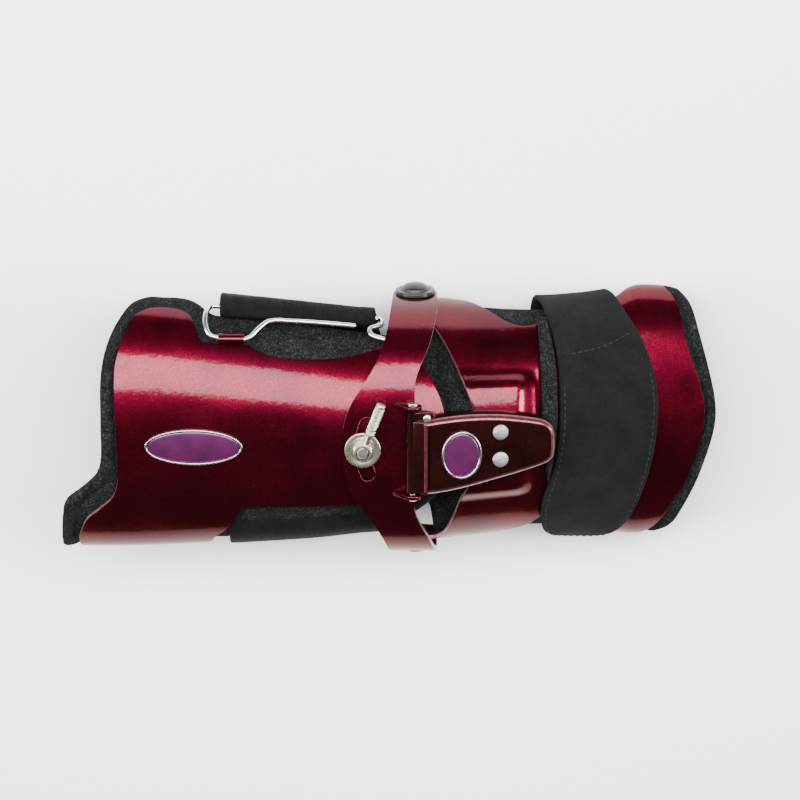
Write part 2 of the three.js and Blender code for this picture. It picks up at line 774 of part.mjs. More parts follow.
// The knuckle is a sleeve rolled from the plate's edge round the wire.
function buildForearmPlate() {
  const plate = forearmPlateSheet();
  const at = { along: -0.612, turn: 35.3, lift: 1.29 };
  const centre = forearmPoint(at.along * forearmLength, at.turn, at.lift * strapWall);
  const outer = wireRadius + gap + plateWall * 0.8;
  const sleeve = solidOf(placed(cylinder(outer, forearmLength * 0.085, 14), centre.toArray(), [0, 90 * degree, 0]));
  const bore = solidOf(tube(wireCurve(), wireRadius + gap, 70, 6));
  return geometryOf(plate.add(sleeve).subtract(bore));
}

function ovalRim(length, width, height, rim) {
  const shape = oval(length, width);
  shape.holes.push(oval(length - 2 * rim, width - 2 * rim));
  return new THREE.ExtrudeGeometry(shape, { depth: height, bevelEnabled: false });
}

function addBadge(parent, name, length, width) {
  const inner = badgeRim + gap;
  addPart(parent, `${name}_rim`, ovalRim(length, width, badgeHeight, badgeRim), steel());
  const face = new THREE.ExtrudeGeometry(oval(length - 2 * inner, width - 2 * inner), {
    depth: badgeHeight * 0.75,
    bevelEnabled: false,
  });
  addPart(parent, `${name}_face`, face, purpleEnamel());
}

function buildForearm(parent) {
  addPart(parent, 'forearm_plate', buildForearmPlate(), redPaint());
  addPart(parent, 'forearm_pad', buildForearmPad(), foam());
  addPart(parent, 'forearm_strap', buildForearmStrap(), webbing());
  addPart(parent, 'strap_wire', tube(wireCurve(), wireRadius, 70, 6), steel());

  const badge = new THREE.Group();
  const badgeX = -0.737 * forearmLength;
  const badgeEnd = forearmPoint(badgeX + forearmBadgeLength / 2, badgeTurn, 0);
  const badgeStart = forearmPoint(badgeX - forearmBadgeLength / 2, badgeTurn, 0);
  const badgeSlope = Math.atan2(badgeEnd.z - badgeStart.z, badgeEnd.x - badgeStart.x);
  const badgeZ = Math.max((badgeEnd.z + badgeStart.z) / 2, forearmPoint(badgeX, badgeTurn, 0).z) + plateWall + 2 * gap;
  badge.position.set(badgeX, 0, badgeZ);
  badge.rotation.y = -badgeSlope;
  addBadge(badge, 'forearm_badge', forearmBadgeLength, forearmBadgeWidth);
  parent.add(badge);
}

// Wrist yoke pieces

function yokeGridPoint(u, v) {
  const run = v * (archRun + 2 * yokeEndRadius) - yokeEndRadius;
  const beyond = Math.max(-run, run - archRun, 0);
  if (beyond > 0) {
    const chord = Math.sqrt(Math.max(yokeEndRadius ** 2 - beyond ** 2, 0.4));
    return yokePoint(chord * (2 * u - 1), run);
  }
  const arc = 0.5 - Math.abs(run / archRun - 0.5);
  const back = yokeReach * columnAt(yokeRows, 'arc', arc, 'back');
  const front = yokeReach * columnAt(yokeRows, 'arc', arc, 'front');
  return yokePoint(back + (front - back) * u, run);
}

function yokeShares() {
  const total = archRun + 2 * yokeEndRadius;
  const ends = [0, 0.12, 0.3, 0.55, 0.8, 1].map((share) => (share * yokeEndRadius) / total);
  const middle = shares(28).slice(1, -1).map((share) => (yokeEndRadius + share * archRun) / total);
  const far = ends.map((share) => 1 - share).reverse();
  return [...ends, ...middle, ...far];
}

const slotX = hingeX - clampReach;
const leverPinRise = 3.2;
const leverPinZ = yokeTop + leverPinRise;
const leverPinX = -1.2;
const earSpan = leverHalfWidth + gap + 0.4;

// The cross slot is an arc round the hidden rivet.
function slotCutter() {
  const shape = new THREE.Shape();
  const outer = clampReach + slotWidth / 2;
  const inner = clampReach - slotWidth / 2;
  const swing = (slotSpan / 2 - slotWidth / 2) / clampReach;
  shape.absarc(0, 0, outer, Math.PI - swing, Math.PI + swing, false);
  shape.absarc(-clampReach * Math.cos(swing), -clampReach * Math.sin(swing), slotWidth / 2, Math.PI + swing, swing, false);
  shape.absarc(0, 0, inner, Math.PI + swing, Math.PI - swing, true);
  shape.absarc(-clampReach * Math.cos(swing), clampReach * Math.sin(swing), slotWidth / 2, -swing, Math.PI - swing, false);
  return new THREE.ExtrudeGeometry(shape, { depth: 20, bevelEnabled: false, curveSegments: 8 });
}

function earGeometry(side) {
  const shape = new THREE.Shape();
  const radius = leverPinRadius + 2.4;
  const foot = yokeTop - yokeWall * 0.9;
  shape.moveTo(leverPinX - 10, foot - 0.6);
  shape.lineTo(leverPinX, foot - 0.6);
  shape.absarc(leverPinX, leverPinZ, radius, -60 * degree, 120 * degree, false);
  shape.lineTo(leverPinX - 8, foot + 1.6);
  shape.closePath();
  const ear = new THREE.ExtrudeGeometry(shape, { depth: earWall, bevelEnabled: false, curveSegments: 6 });
  ear.rotateX(90 * degree);
  return placed(ear, [0, side > 0 ? earSpan + earWall : -earSpan, 0]);
}

function buildYoke() {
  const walls = () => [-yokeWall / 2, yokeWall / 2];
  const band = sheet(shares(4), yokeShares().reverse(), yokeGridPoint, walls);
  let yoke = solidOf(band);
  const tongueLength = 12;
  const tongue = new THREE.BoxGeometry(tongueLength, 13, yokeWall * 0.98);
  yoke = yoke.add(solidOf(placed(tongue, [hingeX - tongueLength / 2 + 0.2, 0, yokeTop - yokeWall / 2])));
  yoke = yoke.add(solidOf(placed(cylinder(6.5, yokeWall * 0.98, 20), [hingeX, 0, yokeTop - yokeWall / 2])));
  for (const side of [1, -1]) yoke = yoke.add(solidOf(earGeometry(side)));
  yoke = yoke.subtract(solidOf(placed(slotCutter(), [hingeX, 0, yokeTop - 10])));
  yoke = yoke.subtract(solidOf(placed(cylinder(boltRadius + gap, 20, 16), [hingeX, 0, yokeTop])));
  const alongY = [90 * degree, 0, 0];
  const pinHole = placed(cylinder(leverPinRadius + gap, 60, 14), [leverPinX, 0, leverPinZ], alongY);
  const pivotHole = placed(cylinder(pivotShankRadius + gap, 140, 18), [0, 0, pivotHeight], alongY);
  return geometryOf(yoke.subtract(solidOf(pinHole)).subtract(solidOf(pivotHole)));
}

// A round piece turned from a profile of radius and height pairs.
function turned(profile, sides = 20) {
  const points = profile.map(([radius, height]) => new THREE.Vector2(radius, height));
  return new THREE.LatheGeometry(points, sides).rotateX(90 * degree);
}

// The side pivot: a low dome outside the yoke, a shank and a flat head inside the ear.
function sidePivot() {
  const inside = handHalfWidth - 2.2;
  const outside = yokeHalfWidth + gap;
  const dome = [1, 0.93, 0.75, 0.45, 0];
  const profile = [[0, inside], [pivotShankRadius + 1.5, inside], [pivotShankRadius + 1.5, inside + 1.2]];
  profile.push([pivotShankRadius, inside + 1.2], [pivotShankRadius, outside], [pivotHeadRadius, outside]);
  for (const share of dome) {
    const height = outside + pivotHeadHeight * (0.35 + 0.65 * Math.sqrt(1 - share * share));
    profile.push([pivotHeadRadius * share, height]);
  }
  return turned(profile, 14);
}

function addYoke(parent) {
  addPart(parent, 'yoke', buildYoke(), redPaint());
  const names = { pivot_rivet_thumb: -90, pivot_rivet_little: 90 };
  for (const [name, swing] of Object.entries(names)) {
    const rivet = addPart(parent, name, sidePivot(), blackened());
    rivet.position.set(0, 0, pivotHeight);
    rivet.rotation.x = swing * degree;
  }
  const reach = earSpan + earWall + gap;
  const headRadius = leverPinRadius + 0.7;
  const pinEnds = [[0, -reach - 1], [headRadius * 0.7, -reach - 1], [headRadius, -reach - 0.5], [headRadius, -reach]];
  const shank = [[leverPinRadius, -reach], [leverPinRadius, reach]];
  const farEnds = [[headRadius, reach], [headRadius, reach + 0.5], [headRadius * 0.7, reach + 1], [0, reach + 1]];
  const pin = addPart(parent, 'lever_pin', turned([...pinEnds, ...shank, ...farEnds], 10), steel());
  pin.position.set(leverPinX, 0, leverPinZ);
  pin.rotation.x = 90 * degree;
}

// Clamp and hidden rivet on the forearm plate

function addClamp(parent) {
  const plateTop = forearmPoint(slotX, 90, gap + plateWall).z;
  const washerZ = yokeTop + gap;
  const boltTop = washerZ + washerWall + gap + nutHeight + 1.2;
  const bolt = addPart(parent, 'clamp_bolt', turned([
    [0, plateTop + gap], [boltRadius, plateTop + gap], [boltRadius, boltTop - 0.5], [boltRadius - 0.5, boltTop], [0, boltTop],
  ], 16), steel());
  bolt.position.set(slotX, 0, 0);

  const bore = boltRadius + gap;
  const washer = addPart(parent, 'clamp_washer', turned([
    [bore, 0], [washerRadius, 0], [washerRadius, washerWall * 0.6], [washerRadius - 0.6, washerWall], [bore, washerWall], [bore, 0],
  ], 20), steel());
  washer.position.set(slotX, 0, washerZ);

  const lever = new THREE.Group();
  lever.position.set(slotX, 0, washerZ + washerWall + gap);
  lever.rotation.z = thumbTurn * degree;
  const nut = turned([
    [bore, 0], [nutRadius, 0], [nutRadius, nutHeight - 0.5], [nutRadius - 0.5, nutHeight], [bore, nutHeight], [bore, 0],
  ], 12);
  const tilt = 10 * degree;
  const neckStart = nutRadius - 0.6;
  const lean = new THREE.Matrix4().makeRotationY(90 * degree - tilt);
  const neck = cylinder(thumbNeckRadius, thumbNeckLength, 10).applyMatrix4(lean);
  const neckMiddle = neckStart + thumbNeckLength / 2;
  neck.translate(neckMiddle, 0, nutHeight / 2 + Math.tan(tilt) * thumbNeckLength / 2);
  const grip = cylinder(thumbGripRadius, thumbGripLength, 16).applyMatrix4(lean);
  const gripMiddle = neckStart + thumbNeckLength + thumbGripLength / 2 - 4;
  grip.translate(gripMiddle, 0, nutHeight / 2 + Math.tan(tilt) * (gripMiddle - neckStart));
  const handle = solidOf(nut).add(solidOf(neck)).add(solidOf(grip));
  const hole = solidOf(placed(cylinder(bore, 30, 12), [0, 0, 0]));
  addPart(lever, 'clamp_lever', geometryOf(handle.subtract(hole)), steel());
  parent.add(lever);

  const rivetTop = yokeTop + gap + 1;
  const rivetFoot = forearmPoint(hingeX, 90, gap + plateWall).z + gap;
  const rivet = addPart(parent, 'yoke_rivet', turned([
    [0, rivetFoot], [boltRadius, rivetFoot], [boltRadius, yokeTop + gap], [boltRadius * 1.8, yokeTop + gap],
    [boltRadius * 1.8, rivetTop - 0.4], [boltRadius * 1.4, rivetTop], [0, rivetTop],
  ], 16), steel());
  rivet.position.set(hingeX, 0, 0);
}

// Support lever

const leverRows = [
  { along: 0, high: 0.66, low: -1 },
  { along: 0.13, high: 0.75, low: -0.98 },
  { along: 0.33, high: 0.87, low: -0.88 },
  { along: 0.55, high: 0.89, low: -0.72 },
  { along: 0.72, high: 0.79, low: -0.55 },
  { along: 0.87, high: 0.63, low: -0.39 },
  { along: 0.95, high: 0.49, low: -0.28 },
  { along: 0.99, high: 0.34, low: -0.16 },
];

function leverShape(inset) {
  const shape = new THREE.Shape();
  const place = (row, side) => {
    const x = Math.min(Math.max(row.along * leverLength, inset), leverLength - inset);
    const y = row[side] * leverHalfWidth - Math.sign(row[side]) * inset;
    return [x, y];
  };
  const lower = leverRows.map((row) => place(row, 'low'));
  const upper = leverRows.map((row) => place(row, 'high')).reverse();
  shape.moveTo(...lower[0]);
  for (const [x, y] of [...lower.slice(1), ...upper]) shape.lineTo(x, y);
  shape.closePath();
  return shape;
}

// An ear of the lever reaches back along each side wall to the pin.
function leverEar(side) {
  const shape = new THREE.Shape();
  const front = leverSetBack + 5;
  shape.moveTo(front, -1.4);
  shape.lineTo(front, 3);
  shape.absarc(0, 0, leverEarRadius, 70 * degree, 280 * degree, false);
  shape.closePath();
  const ear = new THREE.ExtrudeGeometry(shape, { depth: leverWall, bevelEnabled: false, curveSegments: 6 });
  ear.rotateX(90 * degree);
  const { high, low } = leverRows[0];
  return placed(ear, [0, side > 0 ? high * leverHalfWidth : low * leverHalfWidth + leverWall, 0]);
}

function addLever(parent) {
  const lever = new THREE.Group();
  lever.position.set(leverPinX, 0, leverPinZ);
  lever.rotation.y = leverFall * degree;
  const startX = leverSetBack;
  const topZ = leverPinDrop;
  const bevel = 1.2;
  const outer = new THREE.ExtrudeGeometry(leverShape(bevel), {
    depth: leverHeight - bevel,
    bevelEnabled: true,
    bevelThickness: bevel,
    bevelSize: bevel,
    bevelSegments: 2,
  }).translate(startX, 0, topZ - leverHeight);
  const inner = new THREE.ExtrudeGeometry(leverShape(leverWall), {
    depth: leverHeight - leverWall + bevel,
    bevelEnabled: false,
  }).translate(startX, 0, topZ - leverHeight - bevel);
  const backWidth = (leverRows[0].high - leverRows[0].low) * leverHalfWidth - 2 * leverWall;
  const backMiddle = ((leverRows[0].high + leverRows[0].low) * leverHalfWidth) / 2;
  const openBack = new THREE.BoxGeometry(2 * leverWall + 1, backWidth, leverHeight - leverWall);
  const backPlace = [startX, backMiddle, topZ - leverWall - (leverHeight - leverWall) / 2];
  const cutLow = placed(new THREE.BoxGeometry(120, 60, 10), [leverLength / 2, 0, topZ - leverHeight - 5]);
  const pinHole = placed(cylinder(leverPinRadius + gap, 60, 14), [0, 0, 0], [90 * degree, 0, 0]);
  let box = solidOf(outer).subtract(solidOf(inner)).subtract(solidOf(placed(openBack, backPlace)));
  box = box.subtract(solidOf(cutLow));
  for (const side of [1, -1]) box = box.add(solidOf(leverEar(side)));
  box = box.subtract(solidOf(pinHole));
  addPart(lever, 'lever_box', geometryOf(box), redPaint());

  const badge = new THREE.Group();
  badge.position.set(startX + 0.29 * leverLength, leverBadgeShift, topZ + gap);
  addBadge(badge, 'lever_badge', leverBadgeLength, leverBadgeWidth);
  lever.add(badge);

  const rivetRise = [1, 0.85, 0.55, 0.2, 0];
  const rivetProfile = [[0, 0], [leverRivetRadius, 0]];
  for (const share of rivetRise) {
    rivetProfile.push([leverRivetRadius * share, 0.5 + 1 * Math.sqrt(1 - share * share)]);
  }
  const rows = { lever_rivet_upper: 0.47, lever_rivet_lower: -0.2 };
  for (const [name, share] of Object.entries(rows)) {
    const rivet = addPart(lever, name, turned(rivetProfile, 14), steel());
    rivet.position.set(startX + 0.58 * leverLength, share * leverHalfWidth, topZ + gap);
  }
  parent.add(lever);
}

// Hand guard pieces

function handPatch(edges, lift, raised) {
  return (u, v) => {
    const place = patchPlace(edges, u, v);
    const x = place.along * handLength;
    return handPoint(x, place.turn, lift + (raised ? bossAt(x, place.turn) : 0));
  };
}

function handPlateSheet() {
  const half = plateWall / 2;
  const point = handPatch(handPlateEdges, gap + half, true);
  return solidOf(sheet(shares(24), shares(14), point, () => [-half, half]));
}

function buildHandPlate() {
  const pivotHole = placed(cylinder(pivotShankRadius + gap, 140, 18), [0, 0, pivotHeight], [90 * degree, 0, 0]);
  return geometryOf(handPlateSheet().subtract(solidOf(pivotHole)));
}

function handPadPoint(u, v) {
  const place = patchPlace(handPadEdges, u, v);
  const nearFingers = smoothStep(0.74, 0.84, place.along);
  const lift = padLiftAt(handPadEdges, place, handLength, handHalfWidth, nearFingers);
  return handPoint(place.along * handLength, place.turn, lift - padWall / 2 - facetRoom);
}

function buildHandPad() {
  const crowd = 0.7;
  return sheet(shares(18, crowd), shares(12, crowd), handPadPoint, () => [-padWall / 2, padWall / 2]);
}

function ribbonPoint(rows, lift) {
  const first = rows[0].turn;
  const last = rows[rows.length - 1].turn;
  return (u, v) => {
    const turn = first + (last - first) * v;
    const back = columnAt(rows, 'turn', turn, 'back');
    const front = columnAt(rows, 'turn', turn, 'front');
    return handPoint((back + (front - back) * u) * handLength, turn, lift(turn));
  };
}

function buildHandStrap() {
  const overPlate = handStrapLift + gap + strapWall / 2;
  const underPalm = gap + strapWall / 2;
  const lift = (turn) => underPalm + (overPlate - underPalm) * smoothStep(-60, -10, turn);
  const walls = () => [-strapWall / 2, strapWall / 2];
  const point = ribbonPoint(handStrapRows, lift);
  const count = 34;
  const rows = [0, 0.006, ...shares(count).slice(1)];
  return sheet(shares(4), rows, point, walls, restOnFloor(1));
}

function buildCushion() {
  const middle = handStrapLift + gap + cushionWall / 2;
  const walls = () => [-cushionWall / 2, cushionWall / 2];
  return sheet(shares(2), shares(16), ribbonPoint(cushionRows, () => middle), walls);
}

function addHand(parent) {
  addPart(parent, 'hand_plate', buildHandPlate(), redPaint());
  addPart(parent, 'hand_pad', buildHandPad(), foam());
  addPart(parent, 'hand_strap', buildHandStrap(), webbing());
  addPart(parent, 'strap_cushion', buildCushion(), foam());
}

buildForearm(model);
addClamp(model);
addYoke(model);
addLever(model);
addHand(model);

// The part stands with the middle of its outline over the origin.
model.updateMatrixWorld(true);
const outline = new THREE.Box3().setFromObject(model, true);
const middle = outline.getCenter(new THREE.Vector3());
model.position.set(-middle.x, -middle.y, -outline.min.z);

export default model;
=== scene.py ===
import math

import bmesh
import bpy
import numpy as np
from mathutils import Matrix, Vector, kdtree, noise


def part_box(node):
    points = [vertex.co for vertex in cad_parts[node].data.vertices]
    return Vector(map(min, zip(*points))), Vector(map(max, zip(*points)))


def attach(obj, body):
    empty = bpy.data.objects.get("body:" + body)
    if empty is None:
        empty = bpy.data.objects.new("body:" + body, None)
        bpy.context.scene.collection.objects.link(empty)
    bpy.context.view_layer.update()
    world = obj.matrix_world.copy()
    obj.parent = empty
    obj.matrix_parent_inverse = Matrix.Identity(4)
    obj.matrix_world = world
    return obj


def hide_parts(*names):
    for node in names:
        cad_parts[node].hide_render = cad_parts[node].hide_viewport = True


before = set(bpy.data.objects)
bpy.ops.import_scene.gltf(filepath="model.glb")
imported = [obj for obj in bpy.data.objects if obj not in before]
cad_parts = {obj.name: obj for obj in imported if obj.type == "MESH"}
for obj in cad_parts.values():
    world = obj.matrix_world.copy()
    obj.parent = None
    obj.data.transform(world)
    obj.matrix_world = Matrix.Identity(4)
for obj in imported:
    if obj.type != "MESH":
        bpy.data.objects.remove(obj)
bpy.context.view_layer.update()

# Named sizes in millimetres, as in the part's source
MM = 0.001
GAP = 0.3
PLATE = 1.7
PAD = 5.0
STRAP = 2.4
CUSHION = 3.0
FLOOR_SINK = 1.3
FOREARM_CENTRE = 42.4
FOREARM_RISE = 29.5
HAND_STEP = 2.4
YOKE_HALF = 56.0
YOKE_WALL = 2.0
PIVOT_HEIGHT = 29.5
YOKE_END = 9.3
YOKE_REACH = 31.0
SLOT_WIDTH = 6.5
SLOT_SPAN = 29.0
CLAMP_REACH = 30.4
CLAMP_REST = 70  # degrees from +X at rest
WASHER = 1.2
NUT = 4.0
GRIP_LENGTH = 15.5
GRIP_RADIUS = 2.1
GRIP_RIDGES = 20
HINGE_X = 8.0
FOREARM_TOP = FOREARM_CENTRE + FOREARM_RISE + GAP + PLATE
YOKE_RISE = FOREARM_TOP + GAP + YOKE_WALL - PIVOT_HEIGHT
YOKE_TOP = PIVOT_HEIGHT + YOKE_RISE
HAND_STRAP_LIFT = 2.4
BOSS_LIFT = 3.6
WIRE_RADIUS = 1.1
WIRE_STEP = 0.9
KNUCKLE_ALONG, KNUCKLE_TURN, KNUCKLE_LIFT = -0.612, 35.3, 1.29
KNUCKLE_LENGTH = 10.88
PAD_ROOM = 0.35
PAD_ROUND = 2.6
BADGE_ALONG, BADGE_TURN = -0.737, 91
BADGE_LENGTH = 42
BADGE_WIDTH = 16
LEVER_LENGTH = 58.0
LEVER_HALF = 18.0
LEVER_HEIGHT = 8.5
LEVER_WALL = 1.6
LEVER_FALL = 11  # degrees
LEVER_TOP = 5.8
LEVER_BACK = 3.2
LEVER_PIN_X = -1.2
LEVER_PIN_Z = YOKE_TOP + 3.2
SHOULDER = 2.7
EAR_SPAN = LEVER_HALF + GAP + 0.4
EAR_WALL = 1.9
STRAP_BACK = -0.623
STRAP_FRONT = -0.105
STRAP_SLANT = 0.028
FOLD_BACK = 4.0
FOLD_FRONT = -6.0

# In metres
FLOOR_HALF = 4.0
PHOTO_DISTANCE = 3.0
PHOTO_WIDTH = 0.344

# The side pivots' place along the frame's x, which the part's own x starts from
rivet_low, rivet_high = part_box("pivot_rivet_thumb")
SHIFT = (rivet_low.x + rivet_high.x) / 2 / MM

# Tube sections: place along as a share of the length, then factors on half, rise, centre and shift
FOREARM_SECTIONS = np.array([
    (-1.2, 1.215, 1, 0.94, 0.04), (-1, 1.215, 1, 0.943, 0.04), (-0.84, 1.195, 1, 0.948, 0.035),
    (-0.56, 1.125, 1, 0.972, 0.015), (-0.33, 1.057, 1, 0.991, 0), (-0.17, 1, 1, 1, 0),
    (0.14, 0.94, 1, 1, 0),
])
HAND_SECTIONS = np.array([
    (-0.1, 1, 1, 1, 0), (0.03, 1, 1, 1, 0), (0.19, 0.965, 0.94, 0.965, 0), (0.39, 0.935, 0.84, 0.9, 0),
    (0.64, 0.965, 0.7, 0.775, 0), (0.78, 1.04, 0.63, 0.62, 0.01), (1.04, 0.945, 0.53, 0.42, 0),
])
# Edges of the sheets and linings: share along the edge, place along the arm, turn in degrees
FOREARM_PLATE_EDGES = {
    "back": [
        (0, -1.128, 150), (0.14, -1.1, 133), (0.24, -1.05, 124.5), (0.32, -1.008, 117.5),
        (0.4, -0.99, 107), (0.6, -0.996, 84), (0.8, -1, 59), (0.9, -0.987, 46), (1, -0.955, 31),
    ],
    "front": [
        (0, -0.055, 132), (0.15, 0.004, 127), (0.36, 0.088, 112), (0.5, 0.1, 90), (0.64, 0.09, 66),
        (0.85, 0.02, 40), (1, -0.055, 28),
    ],
    "low": [
        (0, -1.128, 150), (0.05, -1.115, 168), (0.1, -1.05, 187), (0.16, -0.95, 197), (0.22, -0.84, 198),
        (0.27, -0.75, 188), (0.32, -0.7, 170), (0.375, -0.668, 148), (0.43, -0.645, 129),
        (0.48, -0.59, 125), (0.74, -0.26, 126), (0.87, -0.14, 128), (1, -0.055, 132),
    ],
    "high": [
        (0, -0.955, 31), (0.05, -0.93, 22), (0.1, -0.89, 15.5), (0.16, -0.83, 13), (0.21, -0.78, 14.5),
        (0.25, -0.748, 20), (0.28, -0.731, 29), (0.31, -0.712, 37), (0.34, -0.68, 38), (0.46, -0.557, 37),
        (0.5, -0.525, 40), (0.55, -0.468, 43), (0.7, -0.3, 41), (0.8, -0.19, 35.5), (0.88, -0.12, 29),
        (1, -0.055, 28),
    ],
}
FOREARM_PAD_EDGES = {
    "back": [
        (0, -1.185, 152), (0.12, -1.18, 134), (0.22, -1.165, 122), (0.3, -1.11, 114), (0.38, -1.06, 106),
        (0.45, -1.047, 98), (0.6, -1.047, 82), (0.8, -1.045, 58), (0.9, -1.025, 42), (1, -0.977, 21),
    ],
    "front": [
        (0, -0.06, 172), (0.15, -0.01, 148), (0.38, 0.095, 118), (0.5, 0.11, 90), (0.62, 0.095, 62),
        (0.85, -0.01, 32), (1, -0.06, 8),
    ],
    "low": [
        (0, -1.185, 152), (0.05, -1.175, 176), (0.1, -1.1, 196), (0.16, -0.98, 207), (0.22, -0.86, 208),
        (0.28, -0.75, 202), (0.34, -0.66, 193), (0.5, -0.5, 187), (0.72, -0.29, 185), (0.86, -0.16, 181),
        (1, -0.06, 172),
    ],
    "high": [
        (0, -0.977, 21), (0.04, -0.937, 5), (0.09, -0.89, -7), (0.15, -0.826, -11), (0.21, -0.77, -10),
        (0.25, -0.73, -3), (0.29, -0.7, 5), (0.34, -0.66, 6), (0.5, -0.5, 2), (0.72, -0.29, 2),
        (0.86, -0.16, 4), (1, -0.06, 8),
    ],
}
HAND_PLATE_EDGES = {
    "back": [
        (0, -0.06, 190), (0.06, -0.072, 180), (0.12, -0.04, 172), (0.2, 0.06, 165), (0.34, 0.16, 118),
        (0.5, 0.23, 90), (0.66, 0.185, 68), (0.82, 0.07, 30), (0.88, -0.04, 8), (0.94, -0.072, 0),
        (1, -0.06, -10),
    ],
    "front": [
        (0, 0.76, 172), (0.1, 0.83, 155), (0.25, 0.895, 132.5), (0.38, 0.951, 116), (0.55, 0.995, 93),
        (0.64, 1, 81), (0.73, 0.975, 67), (0.83, 0.935, 48), (0.92, 0.912, 28), (1, 0.885, 12),
    ],
    "low": [
        (0, -0.06, 190), (0.05, 0, 195), (0.12, 0.09, 191), (0.2, 0.2, 182), (0.27, 0.27, 170),
        (0.34, 0.34, 153), (0.4, 0.395, 140), (0.46, 0.44, 129), (0.54, 0.5, 134), (0.65, 0.58, 154),
        (0.76, 0.65, 168), (0.88, 0.7, 173), (1, 0.76, 172),
    ],
    "high": [
        (0, -0.06, -10), (0.04, 0, -15), (0.09, 0.08, -13), (0.17, 0.18, 0), (0.25, 0.26, 14),
        (0.31, 0.31, 22), (0.37, 0.36, 26), (0.43, 0.415, 25.5), (0.49, 0.47, 19), (0.57, 0.56, 12),
        (0.7, 0.69, 9), (0.76, 0.74, 0), (0.84, 0.79, -7), (0.92, 0.84, -5), (1, 0.885, 12),
    ],
}
HAND_PAD_EDGES = {
    "back": [
        (0, 0.1, 178), (0.2, 0.065, 158), (0.28, 0.058, 145), (0.34, 0.04, 132), (0.42, 0.005, 112),
        (0.5, 0, 90), (0.66, -0.03, 54), (0.82, 0, 26), (1, 0.1, -2),
    ],
    "front": [
        (0, 0.8, 184), (0.1, 0.88, 164), (0.25, 0.94, 138), (0.38, 0.99, 118), (0.55, 1.038, 94),
        (0.64, 1.042, 81), (0.73, 1.02, 64), (0.83, 0.985, 43), (0.92, 0.955, 21), (1, 0.91, 0),
    ],
    "low": [
        (0, 0.1, 178), (0.12, 0.2, 188), (0.4, 0.41, 184), (0.7, 0.62, 184), (0.88, 0.73, 187),
        (1, 0.8, 184),
    ],
    "high": [
        (0, 0.1, -2), (0.12, 0.2, -5), (0.4, 0.41, -3), (0.6, 0.58, -5), (0.76, 0.72, -14),
        (0.88, 0.82, -18), (1, 0.91, 0),
    ],
}
# Share of the way round, then back and front edges as shares of the reach
YOKE_ROWS = np.array([
    (0, -0.3, 0.3), (0.1, -0.335, 0.3), (0.18, -0.38, 0.25), (0.235, -0.45, 0.18), (0.285, -0.56, 0.07),
    (0.315, -0.65, 0.012), (0.34, -0.74, -0.01), (0.39, -0.9, -0.01), (0.44, -0.985, -0.01),
    (0.5, -1, -0.01),
])
# Turn in degrees, then back and front edges as shares of the hand's length
HAND_STRAP_ROWS = np.array([
    (170.4, 0.548, 0.566), (169, 0.525, 0.59), (165, 0.49, 0.635), (158, 0.46, 0.675), (147, 0.44, 0.715),
    (126, 0.437, 0.775), (105, 0.474, 0.82), (88, 0.492, 0.838), (70, 0.495, 0.833), (50, 0.486, 0.785),
    (32, 0.463, 0.73), (12, 0.44, 0.69), (-12, 0.41, 0.655), (-40, 0.4, 0.64), (-90, 0.41, 0.64),
    (-130, 0.44, 0.67), (-158, 0.46, 0.69),
])
CUSHION_ROWS = np.array([
    (112, 0.455, 0.46), (98, 0.443, 0.478), (80, 0.436, 0.489), (60, 0.432, 0.486), (40, 0.425, 0.47),
    (24, 0.42, 0.45),
])
# Turn in degrees and lift as a share of the strap's thickness
FOREARM_STRAP_PATH = np.array([
    (118, -0.8), (128, -0.8), (138, -0.8), (145, 0.2), (152, 0.66), (163, 0.66), (175, 0.66), (205, 0.66),
    (240, 0.66), (270, 0.66), (300, 0.66), (335, 0.66), (358, 0.72), (366, 0.86), (372, 1.12),
    (374.2, 2.1), (372, 3.08), (366, 3.4), (358, 2.8), (344, 2.1), (328, 1.85),
])
# Place along the forearm, turn in degrees, lift as above
WIRE_PATH = np.array([
    (-0.195, 15, 2.04), (-0.3, 16.2, 2.04), (-0.4, 17.8, 2), (-0.486, 20.4, 1.92), (-0.52, 26.5, 1.71),
    (-0.55, 33, 1.42), (-0.58, 35.2, 1.29), (-0.65, 35.4, 1.29), (-0.683, 34.2, 1.38), (-0.698, 28, 1.67),
    (-0.696, 20, 2), (-0.68, 13.6, 2.08), (-0.62, 11.8, 2.08), (-0.52, 9.8, 2.08), (-0.4, 7.4, 2.08),
    (-0.27, 4.9, 2.08), (-0.15, 2.8, 2.08), (-0.116, 4, 2.08), (-0.113, 10.5, 1.96), (-0.152, 15.6, 1.75),
    (-0.145, 20.4, 1.42), (-0.105, 22.4, 1.13), (-0.075, 23.6, 0.96),
])
# Share of the lever's length, then its two edges as shares of the half width
LEVER_ROWS = np.array([
    (0, 0.82, -1), (0.13, 0.87, -0.98), (0.33, 0.91, -0.88), (0.55, 0.89, -0.72), (0.72, 0.82, -0.59),
    (0.87, 0.73, -0.46), (0.94, 0.65, -0.38), (0.98, 0.52, -0.27),
])

FOREARM = {
    "length": 128.0, "half": 44.0, "rise": FOREARM_RISE, "centre": FOREARM_CENTRE, "shift": 44.0,
    "sections": FOREARM_SECTIONS,
}
HAND_HALF = YOKE_HALF - YOKE_WALL - 2 * GAP - PLATE
HAND = {
    "length": 124.0, "half": HAND_HALF, "rise": FOREARM_TOP - HAND_STEP - GAP - PLATE - PIVOT_HEIGHT,
    "centre": PIVOT_HEIGHT, "shift": HAND_HALF, "sections": HAND_SECTIONS,
}


# Curves and surfaces

